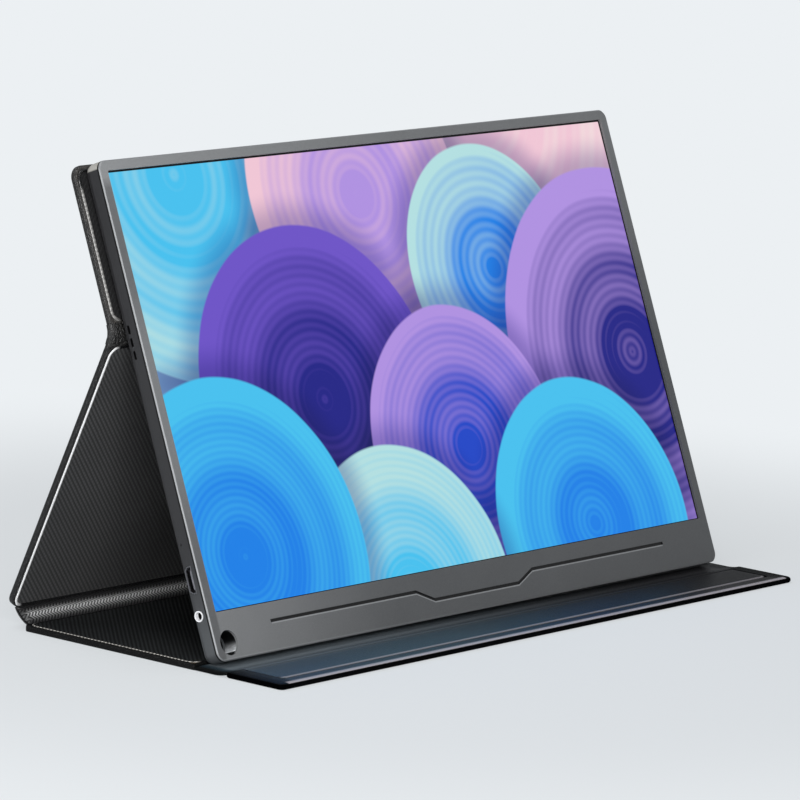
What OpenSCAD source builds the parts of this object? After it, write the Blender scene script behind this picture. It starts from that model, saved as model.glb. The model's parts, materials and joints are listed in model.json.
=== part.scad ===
// Portable 15.6 inch monitor in a folding leather cover that props it up as a stand.
// Origin on the table under the middle of the cover's footprint, +X to the right seen from
// the front, +Y to the rear, +Z up. Millimetres.

/* [Monitor body] */
// Width of the monitor
body_w = 356; // [346:1:380]
// Height of the monitor along its face
body_h = 220.2; // [214:0.2:240]
// Thickness of the monitor
body_t = 9; // [8.8:0.1:11]
// Corner radius seen from the front
body_corner = 4.5; // [3:0.5:8]
// Thickness of the metal front frame
frame_t = 1.2; // [1:0.1:1.4]
// Chamfer round the front frame
frame_chamfer = 0.5; // [0.3:0.1:0.8]
// Side wall of the rear shell
wall_t = 1.6; // [1.2:0.1:1.8]
// Back wall of the rear shell
back_t = 1.2; // [1:0.1:1.3]
// How far the rear edge is rounded off
rear_round = 2; // [1.2:0.1:2.4]

/* [Screen] */
// Bezel on each side of the window
side_bezel = 5.05; // [4.6:0.05:8]
// Bezel above the window
top_bezel = 4.6; // [4:0.1:7]
// Height of the chin below the window
chin_h = 21.2; // [20:0.1:26]
// Cover glass and cells
glass_t = 0.9; // [0.7:0.1:1]
// Diffuser films
film_t = 0.3; // [0.2:0.1:0.4]
// Light guide
guide_t = 0.6; // [0.4:0.1:0.7]
// Sheet metal tray behind the light guide
tray_t = 0.3; // [0.2:0.1:0.4]
// Border of the panel that the bezel hides
panel_border = 1.6; // [1:0.1:2]
// Electronics strip of the panel below the window
panel_foot = 6; // [4:0.5:7]

/* [Chin details] */
// Diameter of the pen hole
pen_hole_d = 11; // [8:0.5:11]
// Pen hole's middle, from the left edge
pen_hole_x = 8.8; // [8.5:0.1:20]
// Pen hole's middle, from the lower edge
pen_hole_z = 7.5; // [7.5:0.1:8]
// Height of the flat in the pen sleeve, below the hole's middle
pen_flat = 4.5; // [4:0.1:4.7]
// Wall of the pen sleeve
pen_sleeve_wall = 0.6; // [0.5:0.1:0.8]
// Half length of the recessed line
line_half_l = 139.5; // [80:0.5:150]
// Half width of the line's dip at its top
dip_half_top = 41.5; // [36:0.5:60]
// Half width of the line's dip at its foot
dip_half_foot = 30; // [15:0.5:32]
// Height of the line above the lower edge
line_z = 13.2; // [12:0.1:15]
// Depth of the dip
dip_drop = 5; // [2:0.1:6]
// Width of the recessed line
line_w = 1.1; // [0.8:0.1:1.5]
// Depth of the recessed line
line_depth = 0.4; // [0.2:0.05:0.6]
// Shell screws in the chin
screw_count = 4; // [2:1:5]
// Spacing of the shell screws
screw_pitch = 92; // [40:1:94]
// Height of the shell screws above the lower edge
screw_z = 7; // [6:0.1:8]
// Thread diameter of the shell screws
screw_d = 1.6; // [1.4:0.1:2]

/* [Sockets and slots] */
// Middle of the sockets behind the front face
socket_y = 5.4; // [5.2:0.1:5.6]
// Bore of the audio jack
jack_bore_d = 3.6; // [3.55:0.05:3.65]
// Bright ring round the audio jack
jack_ring_d = 4.8; // [4.4:0.1:5]
// Height of the audio jack
jack_z = 21.2; // [18:0.1:26]
// Depth of the audio jack
jack_l = 12.5; // [10:0.5:14]
// Length of the video socket's mouth
video_l = 11.2; // [10:0.1:12]
// Width of the video socket's mouth
video_h = 3.1; // [2.8:0.1:3.2]
// Height of the video socket
video_z = 36.9; // [34:0.1:42]
// Height of the status light
light_z = 52.5; // [49:0.5:60]
// Diameter of the status light
light_d = 1; // [0.8:0.1:1.4]
// Number of sound slots in each side wall
slot_count = 3; // [1:1:6]
// Length of a sound slot
slot_l = 3.7; // [2:0.1:4.6]
// Width of a sound slot
slot_w = 1; // [0.6:0.1:1.4]
// Spacing of the sound slots
slot_pitch = 5.6; // [5:0.1:6]
// Middle of the sound slots
slot_z = 141.4; // [110:0.5:170]
// Depth of a loudspeaker into the body
speaker_w = 15; // [10:0.5:20]
// Length of a loudspeaker
speaker_l = 38; // [36:0.5:50]
// Height of the lower data socket
data_z = 28; // [24:0.5:34]
// Spacing of the two data sockets
data_pitch = 15; // [12:0.5:18]
// Height of the power button
power_z = 66; // [60:0.5:72]
// Length of the power button
power_l = 9; // [6:0.5:12]
// Height of the menu rocker
rocker_z = 90; // [85:0.5:100]
// Length of the menu rocker
rocker_l = 18; // [14:0.5:22]
// Width of the buttons
button_h = 2.2; // [1.6:0.1:2.6]
// How far the buttons stand out of the wall
button_proud = 0.6; // [0.5:0.1:0.9]

/* [Cover] */
// How far the cover stands out beside the monitor, on each side
cover_margin = 5.5; // [3:0.5:9]
// Thickness of a stiff panel
panel_t = 2.8; // [2.4:0.1:3.2]
// Thickness of the leather
leather_t = 0.8; // [0.6:0.1:1]
// Thickness of the lining
lining_t = 0.4; // [0.3:0.05:0.6]
// Leather rim round the lining
rim_w = 1.7; // [1.2:0.1:3]
// Corner radius of the panels
panel_corner = 6; // [4:0.5:10]
// Length of the panel on the monitor's back
top_panel_l = 69.6; // [50:0.2:90]
// How far the cover stands above the monitor
top_overhang = 0.8; // [0:0.1:2]
// Adhesive pad between the cover and the monitor
pad_t = 0.8; // [0.6:0.1:1.2]
// Margin of the pad inside the top panel
pad_margin = 9; // [6:0.5:14]
// Length of the soft fold below the top panel
fold_l = 10; // [8:0.5:14]
// Thickness of the soft folds
fold_t = 1.2; // [1:0.1:1.5]

/* [Stand] */
// Tilt of the screen from upright
screen_tilt = 21.7; // [16:0.1:26]
// Lean of the leg from upright
leg_lean = 23; // [20:0.1:27]
// Length of the spine between its two folds
spine_l = 11.9; // [10.5:0.1:14]
// Rise of the spine from the floor to the leg
spine_rise = 7; // [5:0.1:8]
// Bulge of the spine
spine_bulge = 1.3; // [0.8:0.1:1.6]
// Stiff core of the spine
spine_core_t = 0.5; // [0.4:0.1:0.6]
// How much narrower the spine is on each side
spine_inset = 6; // [2:0.5:10]
// Length of the front lip
lip_l = 31.2; // [24:0.2:40]
// Front half of the groove that the monitor stands in
groove_front = 8.6; // [7.6:0.1:12]
// Thickness of the groove's soft strip
groove_t = 1.6; // [1.2:0.1:1.8]
// Height of the groove's strip above the table
groove_lift = 0.2; // [0.1:0.05:0.4]
// Inset of the pressed line from the lip's front edge
emboss_front = 6.5; // [4:0.5:9]
// Inset of the pressed line from the lip's other edges
emboss_side = 9; // [4:0.5:12]

/* [Clearances] */
// Air between the monitor's lower edge and the groove
seat_gap = 0.35; // [0.3:0.05:0.6]
// Gap between a hinge line and the end of a stiff panel
fold_gap = 0.8; // [0.6:0.05:1.2]
// Gap round sockets in their openings
socket_gap = 0.15; // [0.1:0.05:0.2]
// Gap round a button in its opening
button_gap = 0.2; // [0.15:0.05:0.3]
// Gap between a panel's pocket and its board
pocket_gap = 0.1; // [0.05:0.05:0.2]
// Gap between the bent layers of the spine
layer_gap = 0.05; // [0.03:0.01:0.1]

/* [Hidden] */
$fn = 48;
eps = 0.01;

// Depths inside the monitor, from the front face
glass_y = frame_t;
film_y = glass_y + glass_t;
guide_y = film_y + film_t;
tray_y = guide_y + guide_t;
inner_y = tray_y + tray_t;
back_y = body_t - back_t;
board_t = 0.75;
board_y = back_y - 0.05 - board_t;

// Window and panel, heights from the lower edge
window_w = body_w - 2 * side_bezel;
window_top = body_h - top_bezel;
window_foot = chin_h;
window_h = window_top - window_foot;
panel_w = window_w + 2 * panel_border;
panel_top = window_top + panel_border;
panel_bottom = window_foot - panel_foot;
panel_h = panel_top - panel_bottom;
side_x = body_w / 2;
inner_x = side_x - wall_t;
cover_w = body_w + 2 * cover_margin;
pen_x = -side_x + pen_hole_x;

// Rounded rear edge of the shell as depth and inset
round_mid_y = body_t - rear_round / 2;
round_mid_inset = rear_round * 0.3;
round_start_y = body_t - rear_round * 1.4;

// Stand triangle in the side plane. The screen leans on the line from the groove to the
// upper fold, the leg runs from there to the spine, and the spine ends on the table.
groove_top = groove_lift + groove_t;
low_flat = round_start_y * sin(screen_tilt);
low_round = round_mid_y * sin(screen_tilt) - round_mid_inset * cos(screen_tilt);
seat_z = groove_top + seat_gap + max(low_flat, low_round);
top_start = body_h + top_overhang - top_panel_l;
hinge_depth = body_t + pad_t + panel_t / 2;
hinge_height = top_start - fold_l / 2;
top_fold_y0 = hinge_depth * cos(screen_tilt) + hinge_height * sin(screen_tilt);
top_fold_z = seat_z - hinge_depth * sin(screen_tilt) + hinge_height * cos(screen_tilt);
floor_fold_z = panel_t / 2;
leg_fold_z = floor_fold_z + spine_rise;
leg_drop = top_fold_z - leg_fold_z;
leg_run = leg_drop * tan(leg_lean);
leg_l = leg_drop / cos(leg_lean);
leg_fold_y0 = top_fold_y0 + leg_run;
spine_run = sqrt(spine_l * spine_l - spine_rise * spine_rise);
spine_slope = atan(spine_rise / spine_run);
floor_fold_y0 = leg_fold_y0 - spine_run;
floor_back_y0 = floor_fold_y0 - fold_gap;
floor_front_y0 = body_t * cos(screen_tilt) + rear_round * sin(screen_tilt) + seat_gap;
lip_back_y0 = -groove_front;
lip_front_y0 = lip_back_y0 - lip_l;

// The whole side plane moves so that the origin is in the middle of the footprint
shift_y = -(floor_back_y0 + lip_front_y0) / 2;
seat_y = shift_y;
top_fold_y = top_fold_y0 + shift_y;
leg_fold_y = leg_fold_y0 + shift_y;
floor_fold_y = floor_fold_y0 + shift_y;
floor_back = floor_back_y0 + shift_y;
floor_front = floor_front_y0 + shift_y;
lip_back = lip_back_y0 + shift_y;
lip_fold_y = lip_back + 2 * fold_gap;
lip_fold_z = groove_lift + groove_t / 2;

// Spine arc through its two fold lines, bulging to the rear
spine_r = (spine_l * spine_l / 4 + spine_bulge * spine_bulge) / (2 * spine_bulge);
spine_mid_y = (floor_fold_y + leg_fold_y) / 2;
spine_mid_z = (floor_fold_z + leg_fold_z) / 2;
spine_c_y = spine_mid_y - sin(spine_slope) * (spine_r - spine_bulge);
spine_c_z = spine_mid_z + cos(spine_slope) * (spine_r - spine_bulge);
spine_half = asin(spine_l / 2 / spine_r);
spine_aim = spine_slope - 90;
spine_w = cover_w - 2 * spine_inset;

// Placement. In the monitor's own frame X is its width, Y its depth behind the front face
// and Z its height. In the leg's own frame Z runs up the leg from below the upper fold.
module place_monitor() {
    translate([0, seat_y, seat_z]) rotate([-screen_tilt, 0, 0]) children();
}

module place_leg() {
    translate([0, top_fold_y, top_fold_z]) rotate([leg_lean, 0, 0]) children();
}

// Flat outline in X and Z, thickened along Y
module upright(y_from, y_to) {
    translate([0, y_to, 0]) rotate([90, 0, 0]) linear_extrude(y_to - y_from) children();
}

// Section in Y and Z, drawn out along X
module along_x(x_from, x_to) {
    translate([x_from, 0, 0]) rotate([90, 0, 90]) linear_extrude(x_to - x_from) children();
}

// Rectangle from 0 to l with its own corner radius at each end
module plate_2d(w, l, r_start, r_end) {
    translate([-w / 2, r_start]) square([w, l - r_start - r_end]);
    if (r_start > 0) end_2d(w, r_start, r_start);
    if (r_end > 0) end_2d(w, r_end, l - r_end);
}

module end_2d(w, r, y) {
    translate([-w / 2 + r, y - r]) square([w - 2 * r, 2 * r]);
    for (side = [-1, 1]) translate([side * (w / 2 - r), y]) circle(r);
}

module body_outline(inset) {
    r = max(body_corner - inset, 0.5);
    translate([0, inset]) plate_2d(body_w - 2 * inset, body_h - 2 * inset, r, r);
}

// Bore behind the front frame: round with a flat floor
module pen_bore_2d() {
    intersection() {
        translate([pen_x, pen_hole_z]) circle(d = pen_hole_d);
        translate([pen_x - pen_hole_d, pen_hole_z - pen_flat]) square(2 * pen_hole_d);
    }
}

// Slot with round ends in Y and Z, lengthwise along Z
module pill_2d(l, h) {
    translate([-h / 2, -(l - h) / 2]) square([h, l - h]);
    for (side = [-1, 1]) translate([0, side * (l - h) / 2]) circle(h / 2);
}

// Mouth of the video socket: a box with two lower corners cut off
module video_2d(grow) {
    half = video_l / 2 + grow;
    h = video_h / 2 + grow;
    cut = 1.4;
    polygon([[-h, half], [-h, -half], [h * 0.1, -half], [h, -half + cut],
        [h, half - cut], [h * 0.1, half]]);
}

// The recessed line: a band of even width along its five straight runs
function line_points() = [
    [-line_half_l, line_z], [-dip_half_top, line_z], [-dip_half_foot, line_z - dip_drop],
    [dip_half_foot, line_z - dip_drop], [dip_half_top, line_z], [line_half_l, line_z]
];

module line_2d() {
    points = line_points();
    for (i = [0 : len(points) - 2]) {
        run = points[i + 1] - points[i];
        translate(points[i]) rotate(atan2(run[1], run[0]))
            translate([0, -line_w / 2]) square([norm(run), line_w]);
    }
    for (point = points) translate(point) circle(d = line_w, $fn = 16);
}

function screw_x(i) = (i - (screw_count - 1) / 2) * screw_pitch;

// Monitor
boss_r = screw_d / 2 + 1.3;
rib_t = 0.7;
rib_gap = 0.15;
rib_deep = 1.2;

module front_frame() {
    color("dimgray") place_monitor() difference() {
        union() {
            hull() {
                upright(0, eps) body_outline(frame_chamfer);
                upright(frame_chamfer, frame_t) body_outline(0);
            }
            // Ribs that hold the panel sideways and catch the rear shell
            rib_x = inner_x - rib_gap - rib_t / 2;
            for (side = [-1, 1])
                translate([side * rib_x, frame_t + rib_deep / 2 - eps, body_h * 0.55])
                    cube([rib_t, rib_deep, body_h * 0.7], center = true);
            translate([0, frame_t + rib_deep / 2 - eps,
                    body_h - wall_t - rib_gap - rib_t / 2])
                cube([body_w * 0.9, rib_deep, rib_t], center = true);
            for (i = [0 : screw_count - 1])
                upright(frame_t - eps, back_y - 0.05)
                    translate([screw_x(i), screw_z]) circle(boss_r);
        }
        upright(-1, frame_t + 1)
            translate([0, window_foot]) plate_2d(window_w, window_h, 0.8, 0.8);
        upright(-1, frame_t + 1) translate([pen_x, pen_hole_z]) circle(d = pen_hole_d);
        upright(-1, line_depth) line_2d();
        for (i = [0 : screw_count - 1])
            upright(frame_t, body_t)
                translate([screw_x(i), screw_z]) circle(d = screw_d);
    }
}

module rear_shell() {
    color([0.21, 0.21, 0.22]) place_monitor() difference() {
        hull() {
            upright(frame_t, round_start_y) body_outline(0);
            upright(frame_t, round_mid_y) body_outline(round_mid_inset);
            upright(frame_t, body_t) body_outline(rear_round);
        }
        upright(frame_t - 1, back_y) body_outline(wall_t);
        upright(0, body_t + 1) pen_bore_2d();
        left_wall_cuts();
        mirror([1, 0, 0]) sound_slots();
        right_wall_cuts();
        for (i = [0 : screw_count - 1])
            translate([screw_x(i), body_t, screw_z]) rotate([90, 0, 0]) screw_hole();
    }
}

module screw_hole() {
    translate([0, 0, -1]) cylinder(r = screw_d / 2 + 0.2, h = back_t + 2);
    translate([0, 0, -1]) cylinder(r = screw_d + 0.2, h = 1.6);
}

module sound_slots() {
    for (i = [0 : slot_count - 1])
        along_x(-side_x - 1, -inner_x + 1)
            translate([socket_y, slot_z + (i - (slot_count - 1) / 2) * slot_pitch])
                pill_2d(slot_l, slot_w);
}

module left_wall_cuts() {
    sound_slots();
    along_x(-side_x - 1, -inner_x + 1) {
        translate([socket_y, jack_z]) circle(d = jack_ring_d + 2 * socket_gap);
        translate([socket_y, video_z]) video_2d(video_wall + socket_gap);
        translate([socket_y, light_z]) circle(d = light_d + 0.1);
    }
}

module right_wall_cuts() {
    along_x(inner_x - 1, side_x + 1) {
        for (i = [0, 1])
            translate([socket_y, data_z + i * data_pitch])
                pill_2d(data_l + 2 * socket_gap, data_h + 2 * socket_gap);
        translate([socket_y, power_z])
            pill_2d(power_l + 2 * button_gap, button_h + 2 * button_gap);
        translate([socket_y, rocker_z])
            pill_2d(rocker_l + 2 * button_gap, button_h + 2 * button_gap);
    }
}

module panel_layer(y, t, trim) {
    upright(y, y + t) translate([0, panel_bottom + trim])
        plate_2d(panel_w - 2 * trim, panel_h - 2 * trim, 0.5, 0.5);
}

module lcd_glass() {
    color([0.05, 0.06, 0.08]) place_monitor() panel_layer(glass_y, glass_t, 0);
}

module diffuser_films() {
    color("white") place_monitor() panel_layer(film_y, film_t, 1);
}

led_h = 1.8;

module light_guide() {
    color("lightcyan") place_monitor() upright(guide_y, guide_y + guide_t)
        translate([0, panel_bottom + 1 + led_h])
            plate_2d(panel_w - 2, panel_h - 2 - led_h, 0.5, 0.5);
}

module led_strip() {
    color("khaki") place_monitor()
        translate([-panel_w / 2 + 4, guide_y, panel_bottom + 1])
            cube([panel_w - 8, guide_t, led_h]);
}

module panel_tray() {
    color("silver") place_monitor() difference() {
        panel_layer(film_y, inner_y - film_y, 0.4);
        panel_layer(film_y - 1, tray_y - film_y + 1, 0.8);
    }
}

board_w = 96;
board_h = 46;
board_foot = screw_z + 9;
board_x = -inner_x + 1;
jack_w = 6.4;
jack_body_h = jack_bore_d + 0.6;
jack_end_wall = 0.8;

// Board in the chin, notched for the two sockets that are sunk into it
module main_board() {
    color("darkgreen") place_monitor() difference() {
        translate([board_x, board_y, board_foot]) cube([board_w, board_t, board_h]);
        board_notch(jack_z, jack_w, jack_l - wall_t);
        board_notch(video_z, video_l + 2 * video_wall, socket_l - wall_t + socket_lip);
    }
}

module board_notch(z, w, l) {
    translate([-inner_x, board_y - 1, z - w / 2 - pocket_gap])
        cube([l + pocket_gap, board_t + 2, w + 2 * pocket_gap]);
}

// Chips on the board: distance from the board's outer end and foot, width and height
chip_t = 1.2;
scaler_chip = [0.35 * board_w, 0.3 * board_h, 14, 14];
memory_chip = [0.57 * board_w, 0.4 * board_h, 8, 10];
power_chip = [0.74 * board_w, 0.13 * board_h, 10, 6];

module board_chips() {
    color([0.1, 0.1, 0.1]) place_monitor()
        for (chip = [scaler_chip, memory_chip, power_chip])
            translate([board_x + chip[0], board_y - chip_t, board_foot + chip[1]])
                cube([chip[2], chip_t, chip[3]]);
}

// Flat cable from the panel's electronics strip up to the head of the board
flex_w = 24;
flex_t = 0.2;

module panel_flex() {
    foot = panel_bottom + panel_foot + 4;
    head = board_foot + board_h - 4;
    color("chocolate") place_monitor() translate([board_x + 0.72 * board_w, inner_y, 0]) {
        translate([0, 0, foot]) cube([flex_w, flex_t, head - foot]);
        translate([0, 0, head - flex_t]) cube([flex_w, board_y - inner_y, flex_t]);
    }
}

// Depth of the data and video sockets, and how far they lie inside the wall's face
socket_l = 7.5;
socket_lip = 0.2;
video_wall = 0.4;

module video_socket() {
    x_from = -side_x + socket_lip;
    color("silver") place_monitor() {
        difference() {
            along_x(x_from, x_from + socket_l)
                translate([socket_y, video_z]) video_2d(video_wall);
            along_x(x_from - 1, x_from + socket_l - 1)
                translate([socket_y, video_z]) video_2d(0);
        }
        translate([x_from + 1.5, socket_y - 0.4, video_z - video_l / 2 + 1.6])
            cube([socket_l - 2, 0.8, video_l - 3.2]);
    }
}

data_l = 9;
data_h = 3.2;

module data_sockets() {
    x_from = side_x - socket_lip - socket_l;
    color("silver") place_monitor() for (i = [0, 1]) {
        z = data_z + i * data_pitch;
        difference() {
            along_x(x_from, x_from + socket_l)
                translate([socket_y, z]) pill_2d(data_l, data_h);
            along_x(x_from + 1, x_from + socket_l + 1)
                translate([socket_y, z]) pill_2d(data_l - 0.6, data_h - 0.6);
        }
        translate([x_from + 0.5, socket_y - 0.35, z - 3.3]) cube([socket_l - 1.5, 0.7, 6.6]);
    }
}

ring_l = wall_t + 0.2;

module audio_jack() {
    color([0.12, 0.12, 0.12]) place_monitor() difference() {
        translate([-side_x + ring_l, socket_y - jack_body_h / 2, jack_z - jack_w / 2])
            cube([jack_l - ring_l, jack_body_h, jack_w]);
        along_x(-side_x, -side_x + jack_l - jack_end_wall)
            translate([socket_y, jack_z]) circle(d = jack_bore_d);
    }
}

module audio_ring() {
    color("whitesmoke") place_monitor() along_x(-side_x - 0.1, -side_x + ring_l)
        translate([socket_y, jack_z]) difference() {
            circle(d = jack_ring_d);
            circle(d = jack_bore_d);
        }
}

module status_light() {
    color("white") place_monitor() {
        along_x(-side_x + 0.2, -inner_x + 3)
            translate([socket_y, light_z]) circle(d = light_d, $fn = 24);
        translate([-inner_x + 2, socket_y - light_d / 2, light_z - light_d / 2])
            cube([light_d, board_y - socket_y + light_d / 2, light_d]);
    }
}

speaker_t = back_y - inner_y - 0.2;

module speaker(side) {
    place_monitor() difference() {
        translate([side * (inner_x - 0.1 - speaker_w / 2), inner_y + 0.1 + speaker_t / 2,
                slot_z])
            cube([speaker_w, speaker_t, speaker_l], center = true);
        translate([side * (inner_x - speaker_w * 0.6), inner_y, slot_z])
            rotate([90, 0, 0]) cylinder(d = speaker_w * 0.5, h = 1, center = true);
        translate([side * inner_x, socket_y, slot_z])
            cube([3, slot_w + 0.6, slot_pitch * slot_count], center = true);
    }
}

module speaker_left() {
    color([0.13, 0.13, 0.13]) speaker(-1);
}

module speaker_right() {
    color([0.13, 0.13, 0.13]) speaker(1);
}

button_travel = 0.5;
button_inner = 1.6;
button_flange = 0.8;

// Board for the buttons and the data sockets, with a switch behind each button
switch_board_w = 14;
switch_w = 4;
switch_deep = 5.5;
switch_gap = 0.3;

module switch_board() {
    foot = data_z - data_l / 2 - 2;
    top = rocker_z + rocker_l / 2 + 3;
    switch_front = socket_y - 1.5;
    switch_face = inner_x - button_inner - button_travel - switch_gap;
    color("darkgreen") place_monitor() {
        translate([inner_x - 1 - switch_board_w, board_y, foot])
            cube([switch_board_w, board_t, top - foot]);
        for (z = [power_z, rocker_z - rocker_l / 3, rocker_z + rocker_l / 3])
            translate([switch_face - switch_deep, switch_front, z - switch_w / 2])
                cube([switch_deep, board_y - switch_front, switch_w]);
    }
}

module button(z, l) {
    place_monitor() translate([0, socket_y, z]) {
        along_x(inner_x - button_inner, side_x + button_proud) pill_2d(l, button_h);
        along_x(inner_x - button_inner, inner_x - button_inner + button_flange)
            pill_2d(l + 1.6, button_h + 0.8);
    }
}

module power_button() {
    color([0.3, 0.3, 0.31]) button(power_z, power_l);
}

// Rocker with a shallow dip in the middle, so that its two ends can be felt
module menu_rocker() {
    dip_r = 24;
    dip = 0.35;
    color([0.3, 0.3, 0.31]) difference() {
        button(rocker_z, rocker_l);
        place_monitor()
            translate([side_x + button_proud - dip + dip_r, socket_y, rocker_z])
                rotate([90, 0, 0]) cylinder(r = dip_r, h = 10, center = true, $fn = 96);
    }
}

// Tunnel behind the pen hole, round with a flat floor
module pen_sleeve() {
    outer = pen_hole_d / 2 + pen_sleeve_wall;
    color([0.3, 0.3, 0.31]) place_monitor() difference() {
        upright(frame_t, back_y) intersection() {
            translate([pen_x, pen_hole_z]) circle(outer);
            translate([pen_x - 2 * outer, wall_t]) square(4 * outer);
        }
        upright(0, body_t) pen_bore_2d();
    }
}

module shell_screws() {
    color([0.15, 0.15, 0.15]) place_monitor() for (i = [0 : screw_count - 1])
        translate([screw_x(i), body_t - 0.1, screw_z]) rotate([90, 0, 0]) {
            cylinder(r = screw_d / 2, h = 4.5);
            difference() {
                cylinder(r = screw_d - 0.1, h = 0.5);
                translate([0, 0, -1]) cylinder(r = 0.5, h = 1.3, $fn = 6);
            }
        }
}

// Cover panels. A panel's own frame: X across, Z from the fold to the free end, Y from the
// lined face at 0 to the leather face at panel_t.
module panel_skin(l, r_start, r_end) {
    edge = 0.6;
    difference() {
        hull() {
            upright(0, edge) plate_2d(cover_w - edge, l - edge / 2, r_start, r_end);
            upright(edge, panel_t - edge) plate_2d(cover_w, l, r_start, r_end);
            upright(0, panel_t) plate_2d(cover_w - 2 * edge, l - edge, r_start, r_end);
        }
        upright(-1, panel_t - leather_t) pocket_2d(l, 0);
    }
}

module pocket_2d(l, gap) {
    w = cover_w - 2 * rim_w - 2 * gap;
    r = panel_corner - gap;
    translate([0, rim_w + gap]) plate_2d(w, l - 2 * rim_w - 2 * gap, r, r);
}

module panel_board(l) {
    upright(lining_t, panel_t - leather_t) pocket_2d(l, pocket_gap);
}

module panel_lining(l) {
    upright(0, lining_t) pocket_2d(l, pocket_gap);
}

// Top panel, on the monitor's back
module place_top() {
    place_monitor() translate([0, body_t + pad_t, top_start]) children();
}

module mount_pad() {
    color([0.2, 0.2, 0.2]) place_monitor() upright(body_t, body_t + pad_t)
        translate([0, top_start + pad_margin])
            plate_2d(body_w - 2 * pad_margin - 4, top_panel_l - 2 * pad_margin, 4, 4);
}

module top_board() {
    color("tan") place_top() panel_board(top_panel_l);
}

module top_leather() {
    color([0.13, 0.13, 0.14]) place_top() panel_skin(top_panel_l, 0.5, panel_corner);
}

module top_lining() {
    color([0.19, 0.19, 0.2]) place_top() panel_lining(top_panel_l);
}

// Soft fold between the top panel and the leg: two straight runs and a round bend about
// the hinge line
module upper_fold() {
    half = fold_l / 2;
    out = panel_t / 2;
    color([0.13, 0.13, 0.14]) {
        place_monitor() translate([0, hinge_depth, hinge_height])
            along_x(-cover_w / 2, cover_w / 2)
                translate([out - fold_t, 0]) square([fold_t, half]);
        place_leg() along_x(-cover_w / 2, cover_w / 2)
            translate([out - fold_t, -half]) square([fold_t, half]);
        translate([0, top_fold_y, top_fold_z])
            along_x(-cover_w / 2, cover_w / 2) fold_bend_2d(out);
    }
}

// Wedge of the bend between the leg's and the monitor's directions
module fold_bend_2d(out) {
    reach = 2 * out;
    intersection() {
        difference() {
            circle(out);
            circle(out - fold_t);
        }
        polygon([[0, 0], reach * [cos(leg_lean), sin(leg_lean)],
            reach * [1, 0], reach * [cos(screen_tilt), -sin(screen_tilt)]]);
    }
}

// Leg panel, from the upper fold down to the spine
leg_panel_l = leg_l - fold_l / 2 - fold_gap;

module place_leg_panel() {
    place_leg() translate([0, -panel_t / 2, -fold_l / 2]) mirror([0, 0, 1]) children();
}

module leg_board() {
    color("tan") place_leg_panel() panel_board(leg_panel_l);
}

module leg_leather() {
    color([0.13, 0.13, 0.14]) place_leg_panel()
        panel_skin(leg_panel_l, 0.5, panel_corner);
}

module leg_lining() {
    color([0.19, 0.19, 0.2]) place_leg_panel() panel_lining(leg_panel_l);
}

// Spine: three thin layers bent on one centre
module spine_layer(r_in, r_out, trim) {
    span = spine_half - trim / spine_r * 180 / PI;
    reach = 2 * r_out;
    along_x(-spine_w / 2, spine_w / 2) translate([spine_c_y, spine_c_z]) intersection() {
        difference() {
            circle(r_out, $fn = 96);
            circle(r_in, $fn = 96);
        }
        polygon([[0, 0], reach * [cos(spine_aim - span), sin(spine_aim - span)],
            reach * [cos(spine_aim + span), sin(spine_aim + span)]]);
    }
}

spine_out = spine_r + 0.1;

module spine_core() {
    color("dimgray") spine_layer(spine_out - spine_core_t, spine_out, 1.5);
}

module spine_leather() {
    color([0.13, 0.13, 0.14])
        spine_layer(spine_out + layer_gap, spine_out + layer_gap + leather_t, 0);
}

module spine_lining() {
    lining_out = spine_out - spine_core_t - layer_gap;
    color([0.19, 0.19, 0.2]) spine_layer(lining_out - lining_t, lining_out, 0);
}

// Floor panel under the monitor
floor_l = floor_back - floor_front;

module place_floor() {
    translate([0, floor_front, panel_t]) rotate([-90, 0, 0]) children();
}

module floor_board() {
    color("tan") place_floor() panel_board(floor_l);
}

module floor_leather() {
    color([0.13, 0.13, 0.14]) place_floor() panel_skin(floor_l, 0.5, 2.5);
}

module floor_lining() {
    color([0.19, 0.19, 0.2]) place_floor() panel_lining(floor_l);
}

// Soft strip of the groove, between the floor panel and the lip
module lip_fold() {
    color([0.13, 0.13, 0.14])
        translate([-cover_w / 2, lip_back, groove_lift])
            cube([cover_w, floor_front - lip_back, groove_t]);
}

// Front lip, leather on both faces over a board
module place_lip() {
    translate([0, lip_back, 0]) rotate([90, 0, 0]) children();
}

module lip_outline(inset_side, inset_end, inset_start) {
    translate([0, inset_start])
        plate_2d(cover_w - 2 * inset_side, lip_l - inset_start - inset_end, 0.5, 2.5);
}

module lip_leather() {
    edge = 0.8;
    color([0.16, 0.17, 0.18]) place_lip() difference() {
        hull() {
            upright(0, panel_t) lip_outline(edge, edge, 0);
            upright(edge, panel_t - edge) lip_outline(0, 0, 0);
        }
        lip_board_solid(0);
        // Pressed line round the upper face
        upright(panel_t - 0.25, panel_t + 1) difference() {
            lip_outline(emboss_side, emboss_front, 2.5);
            lip_outline(emboss_side + 1, emboss_front + 1, 3.5);
        }
    }
}

module lip_board_solid(gap) {
    upright(leather_t + gap, panel_t - leather_t - gap)
        lip_outline(rim_w + gap, rim_w + gap, rim_w + gap);
}

module lip_board() {
    color("tan") place_lip() lip_board_solid(pocket_gap);
}

front_frame();
rear_shell();
lcd_glass();
diffuser_films();
light_guide();
led_strip();
panel_tray();
main_board();
board_chips();
panel_flex();
video_socket();
data_sockets();
audio_jack();
audio_ring();
status_light();
speaker_left();
speaker_right();
switch_board();
power_button();
menu_rocker();
pen_sleeve();
shell_screws();
mount_pad();
top_board();
top_leather();
top_lining();
upper_fold();
leg_board();
leg_leather();
leg_lining();
spine_core();
spine_leather();
spine_lining();
floor_board();
floor_leather();
floor_lining();
lip_fold();
lip_board();
lip_leather();
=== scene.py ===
import json
import math

import bpy
import bmesh
from mathutils import Matrix, Vector, noise


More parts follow.
